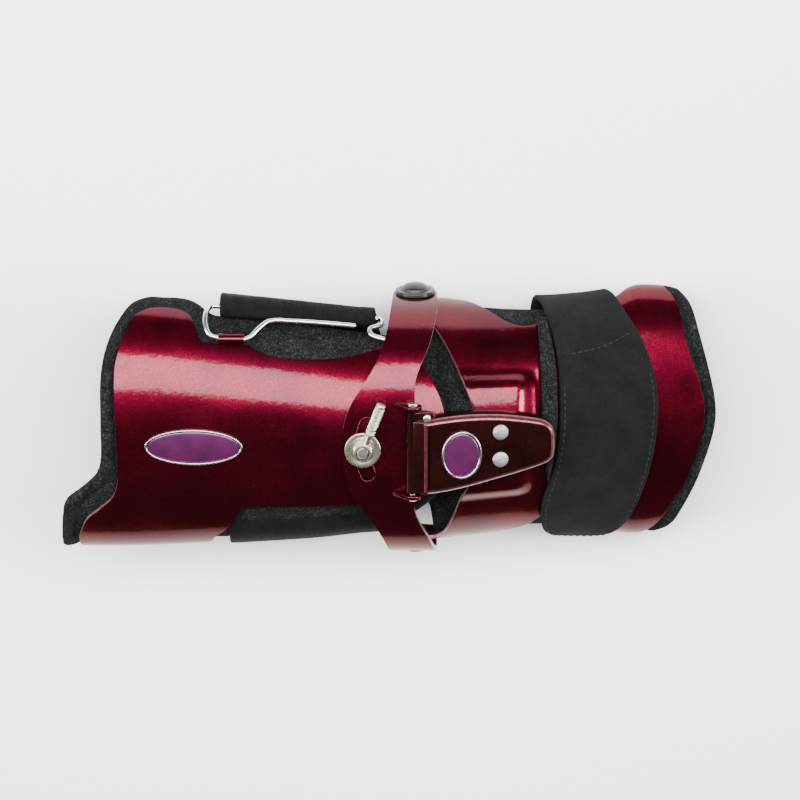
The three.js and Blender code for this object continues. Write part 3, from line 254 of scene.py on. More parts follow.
def smooth_at(table, place, column):
    """A smooth value of one column at places along the first one."""
    keys, values = table[:, 0], table[:, column]
    if keys[0] > keys[-1]:
        keys, values = keys[::-1], values[::-1]
    last = len(keys) - 1
    place = np.asarray(place, float)
    i = np.clip(np.searchsorted(keys, place, side="right") - 1, 0, last - 1)
    before, after = np.maximum(i - 1, 0), np.minimum(i + 2, last)
    span = keys[i + 1] - keys[i]
    s = np.clip((place - keys[i]) / span, 0, 1)
    slope_in = (values[i + 1] - values[before]) / (keys[i + 1] - keys[before]) * span
    slope_out = (values[after] - values[i]) / (keys[after] - keys[i]) * span
    return ((2 * s**3 - 3 * s**2 + 1) * values[i] + (s**3 - 2 * s**2 + s) * slope_in
            + (3 * s**2 - 2 * s**3) * values[i + 1] + (s**3 - s**2) * slope_out)


def smooth_step(low, high, value):
    s = np.clip((np.asarray(value, float) - low) / (high - low), 0, 1)
    return s * s * (3 - 2 * s)


def arm_point(arm, x, turn, lift):
    """A point of the arm's tube: an arch above its axis and a deeper bowl below."""
    along = np.asarray(x, float) / arm["length"]
    half, rise, centre, shift = (
        arm[name] * smooth_at(arm["sections"], along, column)
        for column, name in enumerate(("half", "rise", "centre", "shift"), 1)
    )
    angle = np.radians(turn)
    depth = centre + FLOOR_SINK - GAP - STRAP
    height = np.where(np.sin(angle) >= 0, rise, depth)
    y = shift + (half + lift) * np.cos(angle)
    z = centre + (height + lift) * np.sin(angle)
    return np.stack(np.broadcast_arrays(np.asarray(x, float), y, z), -1)


def boss_at(x, turn):
    """The raised hump of the hand plate that the lever bears on."""
    ends = 1 - smooth_step(0.345, 0.425, x / HAND["length"])
    sides = 1 - smooth_step(24, 34, np.abs(turn - 88))
    return BOSS_LIFT * ends * sides


def crowded(count, crowd):
    """Shares from 0 to 1, closer together near both ends as crowd grows."""
    s = np.linspace(0, 1, count)
    return s - crowd * np.sin(2 * np.pi * s) / (2 * np.pi)


def patch(edges, nu, nv, crowd=0.0):
    """Places along the guard and turns round it, between four smooth edges."""
    u, v = np.meshgrid(crowded(nu, crowd), crowded(nv, crowd), indexing="ij")
    edges = {name: np.array(edge) for name, edge in edges.items()}
    found = []
    for column in (1, 2):
        low, high = (smooth_at(edges[name], u, column) for name in ("low", "high"))
        back, front = (smooth_at(edges[name], v, column) for name in ("back", "front"))
        corners = [edges[a][i, column] for a in ("low", "high") for i in (0, -1)]
        found.append((1 - v) * low + v * high + (1 - u) * back + u * front
                     - ((1 - u) * (1 - v) * corners[0] + u * (1 - v) * corners[1]
                        + (1 - u) * v * corners[2] + u * v * corners[3]))
    return found


def unit(vectors):
    return vectors / np.maximum(np.linalg.norm(vectors, axis=-1, keepdims=True), 1e-9)


def normals_of(points):
    return unit(np.cross(np.gradient(points, axis=0), np.gradient(points, axis=1)))


def spans_of(points, axis=0):
    """Distances between neighbours along one of a grid's ways."""
    return np.linalg.norm(np.diff(points, axis=axis), axis=-1)


def run_along(line):
    """Each point's distance along the line."""
    return np.concatenate([[0], np.cumsum(spans_of(line))])


def at_places(places, keys, values):
    return np.stack([np.interp(places, keys, column) for column in values.T], -1)


def evenly(line, step):
    """The same line in equal steps."""
    run = run_along(line)
    count = max(int(round(run[-1] / step)), 2)
    return at_places(np.linspace(0, run[-1], count + 1), run, line)


def even_rows(point_at, first, last, count):
    """Places along a strap in equal steps, measured on its middle line."""
    fine = np.linspace(first, last, 1200)
    run = run_along(point_at(np.full_like(fine, 0.5), fine))
    return np.interp(np.linspace(0, run[-1], count), run, fine)


def centripetal(points):
    """A smooth curve through the points."""
    padded = np.vstack([2 * points[0] - points[1], points, 2 * points[-1] - points[-2]])
    line = []
    for k in range(len(points) - 1):
        p = padded[k:k + 4]
        t = np.concatenate([[0], np.cumsum(np.sqrt(spans_of(p)))])
        for s in np.linspace(t[1], t[2], 24, endpoint=False):
            a = [((t[i + 1] - s) * p[i] + (s - t[i]) * p[i + 1]) / (t[i + 1] - t[i]) for i in range(3)]
            b = [((t[i + 2] - s) * a[i] + (s - t[i]) * a[i + 1]) / (t[i + 2] - t[i]) for i in range(2)]
            line.append(((t[2] - s) * b[0] + (s - t[1]) * b[1]) / (t[2] - t[1]))
    return np.array(line + [points[-1]])


def arc(centre, radius, start, end, steps=6):
    """Points of a profile's corner, angles in degrees."""
    angles = np.radians(np.linspace(start, end, steps))
    return [(centre[0] + radius * math.cos(a), centre[1] + radius * math.sin(a)) for a in angles]


def dome(radius, foot, height, start=0.1, end=1.56, steps=12):
    """Points of a profile's domed top, from near its edge to near the axis."""
    return [(radius * math.cos(a), foot + height * math.sin(a)) for a in np.linspace(start, end, steps)]


def round_angles(count):
    return np.linspace(0, 2 * np.pi, count, endpoint=False)


def moved(x, y, z):
    return Matrix.Translation((x, y, z))


def turned(axis, degrees):
    return Matrix.Rotation(math.radians(degrees), 4, axis)


def rim_distance(points):
    """How far each point of a grid lies from the grid's rim."""
    ends = [points[0], points[-1], points[:, 0], points[:, -1]]
    between = [line[1:] * k + line[:-1] * (1 - k) for line in ends for k in (0.33, 0.67)]
    rim = np.concatenate(ends + between)
    tree = kdtree.KDTree(len(rim))
    for index, point in enumerate(rim):
        tree.insert(point, index)
    tree.balance()
    return np.array([tree.find(point)[2] for point in points.reshape(-1, 3)]).reshape(points.shape[:2])


def round_edge(distance, radius):
    """The height of a rounded edge, from 0 at the rim to 1 at the radius."""
    s = np.clip(distance / radius, 0, 1)
    return np.sqrt(np.maximum(1 - (1 - s) ** 2, 0))


def ripple(points, size, seed):
    """Soft noise at each point, from about -1 to 1."""
    flat = points.reshape(-1, 3) / size + seed
    return np.array([noise.noise(p) for p in flat]).reshape(points.shape[:-1])


# Mesh makers

def added(name, data):
    """A new object in the scene."""
    made = bpy.data.objects.new(name, data)
    bpy.context.scene.collection.objects.link(made)
    return made


def mesh_object(name, points, faces, body, material, uv=None):
    """A smooth mesh from points in millimetres, riding on a body."""
    mesh = bpy.data.meshes.new(name)
    placed = np.asarray(points, float).reshape(-1, 3) * MM
    placed[:, 0] += SHIFT * MM
    mesh.from_pydata(placed.tolist(), [], [tuple(f) for f in faces])
    if uv is not None:
        layer = mesh.uv_layers.new(name="flat_mm")
        loops = np.zeros(len(mesh.loops), int)
        mesh.loops.foreach_get("vertex_index", loops)
        layer.data.foreach_set("uv", uv[loops].ravel())
    for item in material if isinstance(material, list) else [material]:
        mesh.materials.append(item)
    mesh.polygons.foreach_set("use_smooth", [True] * len(mesh.polygons))
    piece = added(name, mesh)
    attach(piece, body)
    return piece


def named(piece, stands_for=None):
    """Hides the solid that the piece stands for, if one is given."""
    if stands_for:
        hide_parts(stands_for)
    return piece


def reworked(piece, change):
    work = bmesh.new()
    work.from_mesh(piece.data)
    change(work)
    work.to_mesh(piece.data)
    work.free()
    return piece


def tidy(piece):
    """Drops doubled points and turns every face outward."""
    def change(work):
        bmesh.ops.remove_doubles(work, verts=work.verts, dist=2e-6)
        bmesh.ops.dissolve_degenerate(work, edges=work.edges, dist=1e-6)
        bmesh.ops.recalc_face_normals(work, faces=work.faces)
    return reworked(piece, change)


def shade_by_angle(piece, degrees=35):
    """Keeps edges sharper than the angle crisp."""
    def change(work):
        for edge in work.edges:
            edge.smooth = len(edge.link_faces) != 2 or edge.calc_face_angle(0) < math.radians(degrees)
    return reworked(piece, change)


def baked(piece):
    """The piece with its modifiers applied."""
    bpy.context.view_layer.update()
    shaped = piece.evaluated_get(bpy.context.evaluated_depsgraph_get())
    mesh = bpy.data.meshes.new_from_object(shaped)
    piece.modifiers.clear()
    piece.data = mesh
    return piece


def soften(piece, width):
    bevel = piece.modifiers.new("soft_edge", "BEVEL")
    bevel.width = width * MM
    bevel.segments = 3
    bevel.limit_method = "ANGLE"
    bevel.angle_limit = math.radians(50)
    bevel.harden_normals = False
    return baked(piece)


def grid_faces(nu, nv):
    i, j = np.meshgrid(np.arange(nu - 1), np.arange(nv - 1), indexing="ij")
    a = i * nv + j
    return np.stack([a, a + nv, a + nv + 1, a + 1], -1).reshape(-1, 4)


def tube_faces(rings, sides, first=0, caps=False):
    """Faces between rings of points that follow each other, with or without flat ends."""
    k, j = np.meshgrid(np.arange(rings - 1) * sides + first, np.arange(sides), indexing="ij")
    after = (j + 1) % sides
    faces = np.stack([k + j, k + after, k + sides + after, k + sides + j], -1).reshape(-1, 4).tolist()
    if caps:
        last = first + (rings - 1) * sides
        faces += [list(range(first, first + sides))[::-1], list(range(last, last + sides))]
    return faces


def flat_uv(points):
    """Distances over the sheet in millimetres, along both of the grid's ways, for its two faces."""
    along = np.concatenate([np.zeros((1, points.shape[1])), np.cumsum(spans_of(points), 0)])
    across = np.concatenate([np.zeros((points.shape[0], 1)), np.cumsum(spans_of(points, 1), 1)], 1)
    uv = np.stack([along - along[-1:] / 2, across - across[:, -1:] / 2], -1).reshape(-1, 2)
    return np.concatenate([uv, uv])


def plate(name, points, body, wall):
    """Red sheet metal round its middle face, with softened edges whose rim faces carry a painted pink
    highlight.
    """
    outward = normals_of(points) * wall / 2
    index = np.arange(points[..., 0].size).reshape(points.shape[:2])
    quads = grid_faces(*index.shape)
    loop = np.concatenate([index[:-1, 0], index[-1, :-1], index[:0:-1, -1], index[0, :0:-1]])
    after = np.roll(loop, -1)
    rim = np.stack([loop, after, after + index.size, loop + index.size], -1)
    piece = mesh_object(name, np.concatenate([points + outward, points - outward]),
                        np.concatenate([quads, quads[:, ::-1] + index.size, rim[:, ::-1]]), body,
                        [red_metal, pink_edge_highlight], flat_uv(points))
    # The rim faces take the pale pink colour, a painted highlight where the rounded edge would catch the
    # softbox.
    for polygon in piece.data.polygons[2 * len(quads):]:
        polygon.material_index = 1
    return soften(tidy(piece), 0.5)


def shell(name, points, outward, outer, inner, body, material):
    """A closed skin whose two faces meet along the rim."""
    index = np.arange(points[..., 0].size).reshape(points.shape[:2])
    under = index + index.size
    under[0], under[-1] = index[0], index[-1]
    under[:, 0], under[:, -1] = index[:, 0], index[:, -1]
    quads = grid_faces(*index.shape)
    skins = np.concatenate([points + outward * outer[..., None], points + outward * inner[..., None]])
    faces = np.concatenate([quads, under.reshape(-1)[quads][:, ::-1]])
    return tidy(mesh_object(name, skins, faces, body, material, flat_uv(points)))


def sweep(name, line, radius, body, material, sides=20, caps=True):
    """A round bar along a line of points, with one radius or one for each point."""
    tangent = unit(np.gradient(line, axis=0))
    side = np.cross(tangent[0], (0, 0, 1))
    angles = round_angles(sides)
    rings = []
    for point, ahead, size in zip(line, tangent, np.broadcast_to(radius, len(line))):
        side = unit(side - ahead * np.dot(side, ahead))
        ring = np.outer(np.cos(angles), side) + np.outer(np.sin(angles), np.cross(ahead, side))
        rings.append(point + size * ring)
    faces = tube_faces(len(line), sides, caps=caps)
    return tidy(mesh_object(name, np.concatenate(rings), faces, body, material))


def lathe(name, profile, matrix, body, material, stands_for=None, sides=64):
    """A turned piece: profile holds radius and height pairs, closed on the axis or on itself."""
    angles = round_angles(sides)
    points = [matrix @ Vector((r * math.cos(a), r * math.sin(a), z)) for r, z in profile for a in angles]
    piece = tidy(mesh_object(name, points, tube_faces(len(profile), sides), body, material))
    return named(shade_by_angle(piece), stands_for)


def cutout(name, outline, depth, matrix, body, material, soft):
    """A flat outline given thickness along its local +Z, with softened edges."""
    points = [matrix @ Vector((x, y, z)) for z in (0, depth) for x, y in outline]
    faces = tube_faces(2, len(outline), caps=True)
    piece = tidy(mesh_object(name, points, faces, body, material))
    return soften(piece, soft) if soft else piece


def cut(piece, outline, low, depth, matrix=Matrix()):
    """The piece with an outline taken out of it, from low up to low + depth."""
    cutter = cutout("cutter", outline, depth, matrix @ moved(0, 0, low), "yoke", red_metal, 0)
    hole = piece.modifiers.new("hole", "BOOLEAN")
    hole.object = cutter
    hole.operation = "DIFFERENCE"
    hole.solver = "EXACT"
    baked(piece)
    bpy.data.objects.remove(cutter)


def stitches(name, line, normals, body):
    """A row of thread stitches that dip into the cloth at both ends."""
    length, spacing, width, sink = 2.2, 2.9, 0.26, 0.08
    steps = sides = 7
    run = run_along(line)
    count = int(run[-1] // spacing)
    hump = np.sin(np.linspace(0, np.pi, steps))
    angles = round_angles(sides)
    points, faces = [], []
    for k in range(count):
        start = (k + 0.5 * (run[-1] / spacing - count)) * spacing
        places = start + np.linspace(0, length, steps)
        up = unit(at_places(places, run, normals))
        path = at_places(places, run, line) + up * (width * (0.9 * hump - 0.55) - sink)[:, None]
        tangent = unit(np.gradient(path, axis=0))
        side = unit(np.cross(tangent, up))
        over = np.cross(side, tangent)
        ring = np.cos(angles)[:, None] * side[:, None] + np.sin(angles)[:, None] * over[:, None]
        points.append(path[:, None] + (width * (0.55 + 0.45 * hump))[:, None, None] * ring)
        faces += tube_faces(steps, sides, k * steps * sides, True)
    return mesh_object(name, np.concatenate(points), faces, body, thread)


# Materials

class Look:
    """A procedural material, built from short calls."""

    def __init__(self, name):
        self.material = bpy.data.materials.new(name)
        self.material.use_nodes = True
        self.tree = self.material.node_tree
        self.shader = self.tree.nodes["Principled BSDF"]
        self.coords = self.tree.nodes.new("ShaderNodeTexCoord")

    def put(self, node, name, value):
        socket = node.inputs[name]
        if isinstance(value, bpy.types.NodeSocket):
            self.tree.links.new(value, socket)
        else:
            socket.default_value = value

    def set(self, **inputs):
        for name, value in inputs.items():
            self.put(self.shader, name.replace("_", " "), value)

    def node(self, kind, **inputs):
        made = self.tree.nodes.new(kind)
        for name, value in inputs.items():
            self.put(made, name, value)
        return made

    def place(self, kind="Object", scale=(1, 1, 1)):
        return self.node("ShaderNodeMapping", Vector=self.coords.outputs[kind], Scale=scale).outputs["Vector"]

    def noise(self, size, detail=3.0, rough=0.55, place=None):
        return self.node("ShaderNodeTexNoise", Vector=place or self.place(), Scale=1 / size, Detail=detail,
                         Roughness=rough).outputs["Fac"]

    def cells(self, size, output="Distance", place=None):
        return self.node("ShaderNodeTexVoronoi", Vector=place or self.place(), Scale=1 / size).outputs[output]

    def bands(self, size, axis, place=None, distortion=0.0):
        made = self.node("ShaderNodeTexWave", Vector=place or self.place(), Scale=0.5 / size,
                         Distortion=distortion)
        made.bands_direction = axis
        return made.outputs["Fac"]

    def ramp(self, value, *stops):
        """A colour or grey that changes with the value, from (place, colour) stops."""
        made = self.node("ShaderNodeValToRGB", Fac=value)
        ramp = made.color_ramp
        while len(ramp.elements) < len(stops):
            ramp.elements.new(0.5)
        for element, (at, colour) in zip(ramp.elements, stops):
            element.position = at
            element.color = (*colour, 1) if isinstance(colour, tuple) else (colour, colour, colour, 1)
        return made.outputs["Color"]

    def tinted(self, colour, other):
        """One colour times another."""
        made = self.tree.nodes.new("ShaderNodeMix")
        made.data_type = "RGBA"
        made.blend_type = "MULTIPLY"
        self.put(made, "Factor", 1.0)
        self.put(made, 6, colour)
        self.put(made, 7, other)
        return made.outputs[2]

    def math(self, kind, a, b):
        made = self.tree.nodes.new("ShaderNodeMath")
        made.operation = kind
        self.put(made, 0, a)
        self.put(made, 1, b)
        return made.outputs[0]

    def total(self, *parts):
        """The sum of values, each given with its weight."""
        found = [value if weight == 1 else self.math("MULTIPLY", value, weight) for value, weight in parts]
        return found[0] if len(found) == 1 else self.math("ADD", found[0], found[1])

    def bump(self, height, depth, strength, under=None):
        made = self.node("ShaderNodeBump", Height=height, Distance=depth, Strength=strength)
        if under is not None:
            self.put(made, "Normal", under)
        return made.outputs["Normal"]


def red_metal_look():
    look = Look("candy_red_metal")
    flake = look.cells(0.00035, "Color")
    deep = look.ramp(look.noise(0.03, 2), (0.3, (0.052, 0.0010, 0.0085)), (0.7, (0.092, 0.0018, 0.0105)))
    sparkle = look.ramp(flake, (0.0, (0.5, 0.45, 0.5)), (0.75, 1.0), (1.0, (1.9, 1.5, 1.6)))
    scratch = look.noise(0.0004, 2, 0.5, look.place(scale=(0.05, 1, 1)))
    grain = look.bump(scratch, 0.00002, 0.2, look.bump(flake, 0.00003, 0.35))
    peel = look.bump(look.noise(0.0026, 3, 0.6), 0.00011, 0.6)
    peel = look.bump(look.noise(0.0008, 2, 0.5), 0.00002, 0.4, peel)
    look.set(Base_Color=look.tinted(deep, sparkle), Metallic=0.9,
             Roughness=look.ramp(look.noise(0.022, 5, 0.6), (0.35, 0.2), (0.7, 0.32)), Normal=grain,
             Coat_Weight=0.45, Coat_Roughness=0.05, Coat_IOR=1.38, Coat_Normal=peel,
             Specular_Tint=(0.45, 0.06, 0.11, 1))
    return look.material


def lever_look():
    look = Look("dark_lever_metal")
    flake = look.cells(0.0004, "Color")
    deep = look.ramp(look.noise(0.012, 4), (0.3, (0.008, 0.0014, 0.0014)), (0.7, (0.020, 0.0022, 0.0026)))
    sparkle = look.ramp(flake, (0.0, 0.5), (0.8, 1.0), (1.0, (1.8, 1.5, 1.5)))
    look.set(Base_Color=look.tinted(deep, sparkle), Metallic=0.75,
             Roughness=look.ramp(look.noise(0.015, 5, 0.6), (0.35, 0.3), (0.7, 0.46)),
             Normal=look.bump(flake, 0.00003, 0.4), Coat_Weight=0.6, Coat_Roughness=0.1, Coat_IOR=1.4,
             Coat_Normal=look.bump(look.noise(0.0024, 3, 0.6), 0.00008, 0.6),
             Specular_Tint=(0.4, 0.08, 0.1, 1))
    return look.material


def drifting_look(name, drift_noise, low, high, rough, grain, **more):
    """A finish that drifts between two colours, also used for the painted edge highlights: drift_noise and
    grain start as noise settings.
    """
    look = Look(name)
    drift = look.noise(*drift_noise)
    look.set(Base_Color=look.ramp(drift, (0.3, low), (0.7, high)),
             Roughness=look.ramp(drift, (0.3, rough[0]), (0.7, rough[1])),
             Normal=look.bump(look.noise(*grain[:3]), *grain[3:]), **more)
    return look.material


def bare_metal(name, low, high, rough, grain=(0.0006, 3, 0.6, 0.00003, 0.6)):
    return drifting_look(name, (0.006, 5, 0.6), low, high, rough, grain, Metallic=1.0)


def lining_look():
    look = Look("black_lining_fabric")
    place = look.place("UV")
    speck = look.cells(0.42, "Color", place)
    height = look.total((look.cells(0.75, "Distance", place), -0.6), (look.noise(0.35, 4, 0.7, place), 0.8))
    base = look.ramp(look.noise(9.0, 4, 0.6, place), (0.3, (0.0032, 0.0033, 0.0034)),
                     (0.7, (0.0070, 0.0072, 0.0074)))
    glint = look.ramp(speck, (0.0, 0.55), (0.6, (1.2, 1.2, 1.22)), (1.0, (6.0, 6.2, 6.1)))
    look.set(Base_Color=look.tinted(base, glint), Roughness=0.92, Normal=look.bump(height, 0.0005, 0.8),
             Specular_IOR_Level=0.05)
    return look.material


def webbing_look():
    look = Look("black_ribbed_webbing")
    place = look.place("UV")
    weave = look.total((look.bands(1.25, "X", place, 0.15), 0.75), (look.bands(0.62, "Y", place, 0.2), 0.35))
    fibre = look.noise(0.25, 4, 0.7, look.place("UV", (0.25, 1, 1)))
    base = look.ramp(look.noise(7.0, 4, 0.6, place), (0.3, (0.0025, 0.0025, 0.0028)),
                     (0.75, (0.0058, 0.0058, 0.0064)))
    look.set(Base_Color=look.tinted(base, look.ramp(weave, (0.2, 0.45), (0.9, 1.35))), Roughness=0.72,
             Normal=look.bump(look.total((weave, 1), (fibre, 0.35)), 0.0004, 0.75), Specular_IOR_Level=0.06)
    return look.material


def knit_look():
    look = Look("charcoal_knit")
    place = look.place("UV")
    ribs = look.math("MULTIPLY", look.bands(0.9, "X", place, 0.3), look.bands(0.7, "Y", place, 0.3))
    loops = look.total((ribs, 1), (look.cells(0.8, "Distance", place), -0.5))
    fuzz = look.noise(0.3, 5, 0.75, place)
    base = look.ramp(look.noise(12.0, 4, 0.6, place), (0.3, (0.0044, 0.0046, 0.0048)),
                     (0.7, (0.0092, 0.0095, 0.0098)))
    lit = look.ramp(look.total((loops, 1), (fuzz, 1)), (0.35, 0.5), (1.1, (1.7, 1.7, 1.75)))
    look.set(Base_Color=look.tinted(base, lit), Roughness=0.88,
             Normal=look.bump(look.total((loops, 1), (fuzz, 0.7)), 0.00045, 0.8), Specular_IOR_Level=0.1)
    return look.material


def thread_look():
    look = Look("stitch_thread")
    twist = look.bands(0.0003, "DIAGONAL")
    look.set(Base_Color=look.ramp(twist, (0.2, (0.008, 0.008, 0.0085)), (0.8, (0.024, 0.024, 0.025))),
             Roughness=0.7, Normal=look.bump(twist, 0.00008, 0.6), Specular_IOR_Level=0.12)
    return look.material


def enamel_look():
    look = Look("purple_enamel")
    drift = look.noise(0.008, 4)
    look.set(Base_Color=look.ramp(drift, (0.3, (0.032, 0.0015, 0.026)), (0.7, (0.06, 0.0025, 0.045))),
             Metallic=0.3, Roughness=0.32, Normal=look.bump(look.cells(0.0006), 0.00004, 0.4),
             Coat_Weight=0.8, Coat_Roughness=0.06, Coat_IOR=1.4,
             Coat_Normal=look.bump(look.noise(0.003, 2), 0.00006, 0.4))
    return look.material


red_metal = red_metal_look()
# Pale pink for the sheet rims: a painted highlight of the rounded edges.
pink_edge_highlight = drifting_look("pink_edge_painted_highlight", (0.003, 4, 0.6), (0.34, 0.12, 0.15), (0.66, 0.36, 0.40), (0.42, 0.24),
                      (0.0008, 3, 0.55, 0.00004, 0.5), Metallic=0.8, Coat_Weight=0.4, Coat_Roughness=0.15)
lever_metal = lever_look()
# Pink for the lever's rounded shoulder: a painted highlight.
lever_edge_highlight = drifting_look("lever_edge_painted_highlight", (0.002, 4, 0.65), (0.04, 0.005, 0.008), (0.13, 0.026, 0.036),
                       (0.44, 0.3), (0.0007, 3, 0.55, 0.00006, 0.6), Metallic=0.85, Coat_Weight=0.5,
                       Coat_Roughness=0.12)
lining = lining_look()
webbing = webbing_look()
knit = knit_look()
thread = thread_look()
bright_steel = bare_metal("bright_steel", (0.42, 0.41, 0.40), (0.72, 0.71, 0.69), (0.34, 0.16))
hardware = bare_metal("nickel_hardware", (0.36, 0.32, 0.26), (0.66, 0.60, 0.50), (0.38, 0.2))
rivet_silver = bare_metal("matt_silver_rivet", (0.17, 0.17, 0.175), (0.36, 0.36, 0.365), (0.58, 0.4),
                          (0.0008, 3, 0.6, 0.0006, 0.6))
badge_silver = bare_metal("pale_badge_rim", (0.26, 0.17, 0.21), (0.50, 0.38, 0.43), (0.32, 0.16))
black_cap = drifting_look("black_gloss_cap", (0.004, 4), (0.006, 0.006, 0.007), (0.014, 0.014, 0.015),
                      (0.26, 0.4), (0.0012, 3, 0.55, 0.00004, 0.4), Specular_IOR_Level=0.25)
enamel = enamel_look()


# Forearm guard

along, turn = patch(FOREARM_PLATE_EDGES, 150, 92)
points = arm_point(FOREARM, along * FOREARM["length"], turn, GAP + PLATE / 2)
forearm_plate = plate("forearm_plate_sheet", points, "forearm", PLATE)
named(forearm_plate, "forearm_plate")

# The sleeve curled from the plate's edge, which holds the wire
knuckle = arm_point(FOREARM, KNUCKLE_ALONG * FOREARM["length"], KNUCKLE_TURN, KNUCKLE_LIFT * STRAP)
knuckle_in = WIRE_RADIUS + 0.15
knuckle_out = knuckle_in + PLATE * 0.75
curl = arc((0, 0), knuckle_out, 118, -178, 40) + arc((0, 0), knuckle_in, -178, 118, 40)
curl_frame = moved(*knuckle) @ turned("Y", 90) @ turned("Z", 90) @ moved(0, 0, -KNUCKLE_LENGTH / 2)
named(cutout("forearm_plate_knuckle", curl, KNUCKLE_LENGTH, curl_frame, "forearm", red_metal, 0.35))


def lined_pad(body, arm, edges, lip_from, lip_to, seed, dip=0.0):
    """A foam lining with a fat rolled lip along the end that shows."""
    along, turn = patch(edges, 150, 110, 0.82)
    x = along * arm["length"]
    sink = -PAD / 2 - PAD_ROOM
    base = arm_point(arm, x, turn, sink)
    rim = rim_distance(base)
    rounded = round_edge(rim, PAD_ROUND)
    lip = 3.3 * (1 - smooth_step(0.0, 5.4, rim)) + 0.35 * ripple(base, 11, seed)
    lip *= smooth_step(lip_from, lip_to, along)
    under = (dip * (1 - smooth_step(0.07, 0.2, along)) * smooth_step(18, 40, turn)
             * (1 - smooth_step(134, 152, turn)))
    points = arm_point(arm, x, turn, sink + lip - under)
    outward = normals_of(points)
    middle = np.array([0.0, points[..., 1].mean(), arm["centre"]])
    if np.sum(outward * (points - middle) * (0, 1, 1)) < 0:
        outward = -outward
    puff = PAD / 2 * rounded
    wrinkle = (0.16 * ripple(base, 5.5, seed + 7) + 0.09 * ripple(base, 2.1, seed + 13)) * rounded
    outer = puff * (1 + 0.10 * (1 - smooth_step(2, 9, rim)) * ripple(base, 8, seed + 3)) + wrinkle
    piece = shell(f"{body}_pad_foam", points, outward, outer, -puff - wrinkle, body, lining)
    named(piece, f"{body}_pad")


lined_pad("forearm", FOREARM, FOREARM_PAD_EDGES, -0.66, -0.74, 3.0)


# Forearm strap, wire and badge

def strap_point(u, place):
    """A point of the forearm strap, with place counted in rows of its path."""
    index = np.arange(len(FOREARM_STRAP_PATH))
    table = np.column_stack([index, FOREARM_STRAP_PATH])
    plain = smooth_at(table, place, 1)
    near = smooth_step(290, 355, plain) * smooth_step(0, 0.5 * index[-1], place)
    turn = plain + (FOLD_BACK + (FOLD_FRONT - FOLD_BACK) * u) * near
    along = STRAP_BACK + (STRAP_FRONT - STRAP_BACK) * u - STRAP_SLANT * near
    return arm_point(FOREARM, along * FOREARM["length"], turn, STRAP * smooth_at(table, place, 2))


def strap_skin(name, points, body, material, stands_for):
    """A woven strap with rounded edges that never dips under the floor."""
    rim = rim_distance(points)
    half = STRAP / 2 * round_edge(rim, 1.15)
    uneven = 0.13 * ripple(points, 9, 4) + 0.05 * ripple(points, 3, 8)
    outer = half + uneven * round_edge(rim, 2.5)
    piece = shell(name, points, normals_of(points), outer, -half, body, material)
    for vertex in piece.data.vertices:
        vertex.co.z = max(vertex.co.z, 0.0)
    return named(piece, stands_for)


def strap_grid(point_at, count, crowd, places):
    return point_at(*np.meshgrid(crowded(count, crowd), places, indexing="ij"))


last_row = len(FOREARM_STRAP_PATH) - 1
strap_points = strap_grid(strap_point, 62, 0.7, even_rows(strap_point, 0, last_row, 230))
forearm_strap = strap_skin("forearm_strap_webbing", strap_points, "forearm", webbing,
                           "forearm_strap")

wire_line = evenly(centripetal(arm_point(FOREARM, WIRE_PATH[:, 0] * FOREARM["length"], WIRE_PATH[:, 1],
                                         WIRE_PATH[:, 2] * STRAP)), WIRE_STEP)
wire_run = np.linspace(0, 1, len(wire_line))
from_end = np.minimum(wire_run, 1 - wire_run) * len(wire_line) * WIRE_STEP / WIRE_RADIUS
wire_size = WIRE_RADIUS * np.maximum(round_edge(from_end, 1.0), 0.15)
named(sweep("strap_wire_bar", wire_line, wire_size, "forearm", bright_steel), "strap_wire")


def badge(name, length, width, matrix, body):
    """An oval badge: a rounded metal rim round a domed enamel face."""
    wall, around = 1.25, 120
    angles = round_angles(around)
    half_length, half_width = length / 2, width / 2

    def ovals(part, rows, material, caps):
        points = [matrix @ Vector((a * math.cos(t), b * math.sin(t), z)) for a, b, z in rows for t in angles]
        faces = tube_faces(len(rows), around, caps=caps)
        return tidy(mesh_object(f"{name}_{part}", points, faces, body, material))

    section = [(0, 0), (0, 0.55)] + [(wall / 2 * (1 - math.cos(a)), 0.55 + 0.65 * math.sin(a))
                                     for a in np.linspace(0.3, math.pi, 9)] + [(wall, 0), (0, 0)]
    rows = [(half_length - inset, half_width - inset, z) for inset, z in section]
    named(ovals("rim_ring", rows, badge_silver, False), f"{name}_rim")
    shares = [1.0, 1.0, 0.985, 0.93, 0.82, 0.66, 0.48, 0.3, 0.12]
    heights = [0.0, 0.52, 0.62, 0.70, 0.80, 0.89, 0.96, 1.0, 1.02]
    rows = [((half_length - wall) * s, (half_width - wall) * s, z) for s, z in zip(shares, heights)]
    named(ovals("face_dome", rows, enamel, True), f"{name}_face")


badge_x = BADGE_ALONG * FOREARM["length"]
back, front, middle = arm_point(
    FOREARM, badge_x + np.array([-BADGE_LENGTH / 2, BADGE_LENGTH / 2, 0]), BADGE_TURN, 0)
badge_slope = math.atan2(front[2] - back[2], front[0] - back[0])
badge_z = max((back[2] + front[2]) / 2, middle[2]) + PLATE + GAP
badge("forearm_badge", BADGE_LENGTH, BADGE_WIDTH,
      moved(badge_x, 0, badge_z) @ Matrix.Rotation(-badge_slope, 4, "Y"), "forearm")


# Clamp and hidden rivet

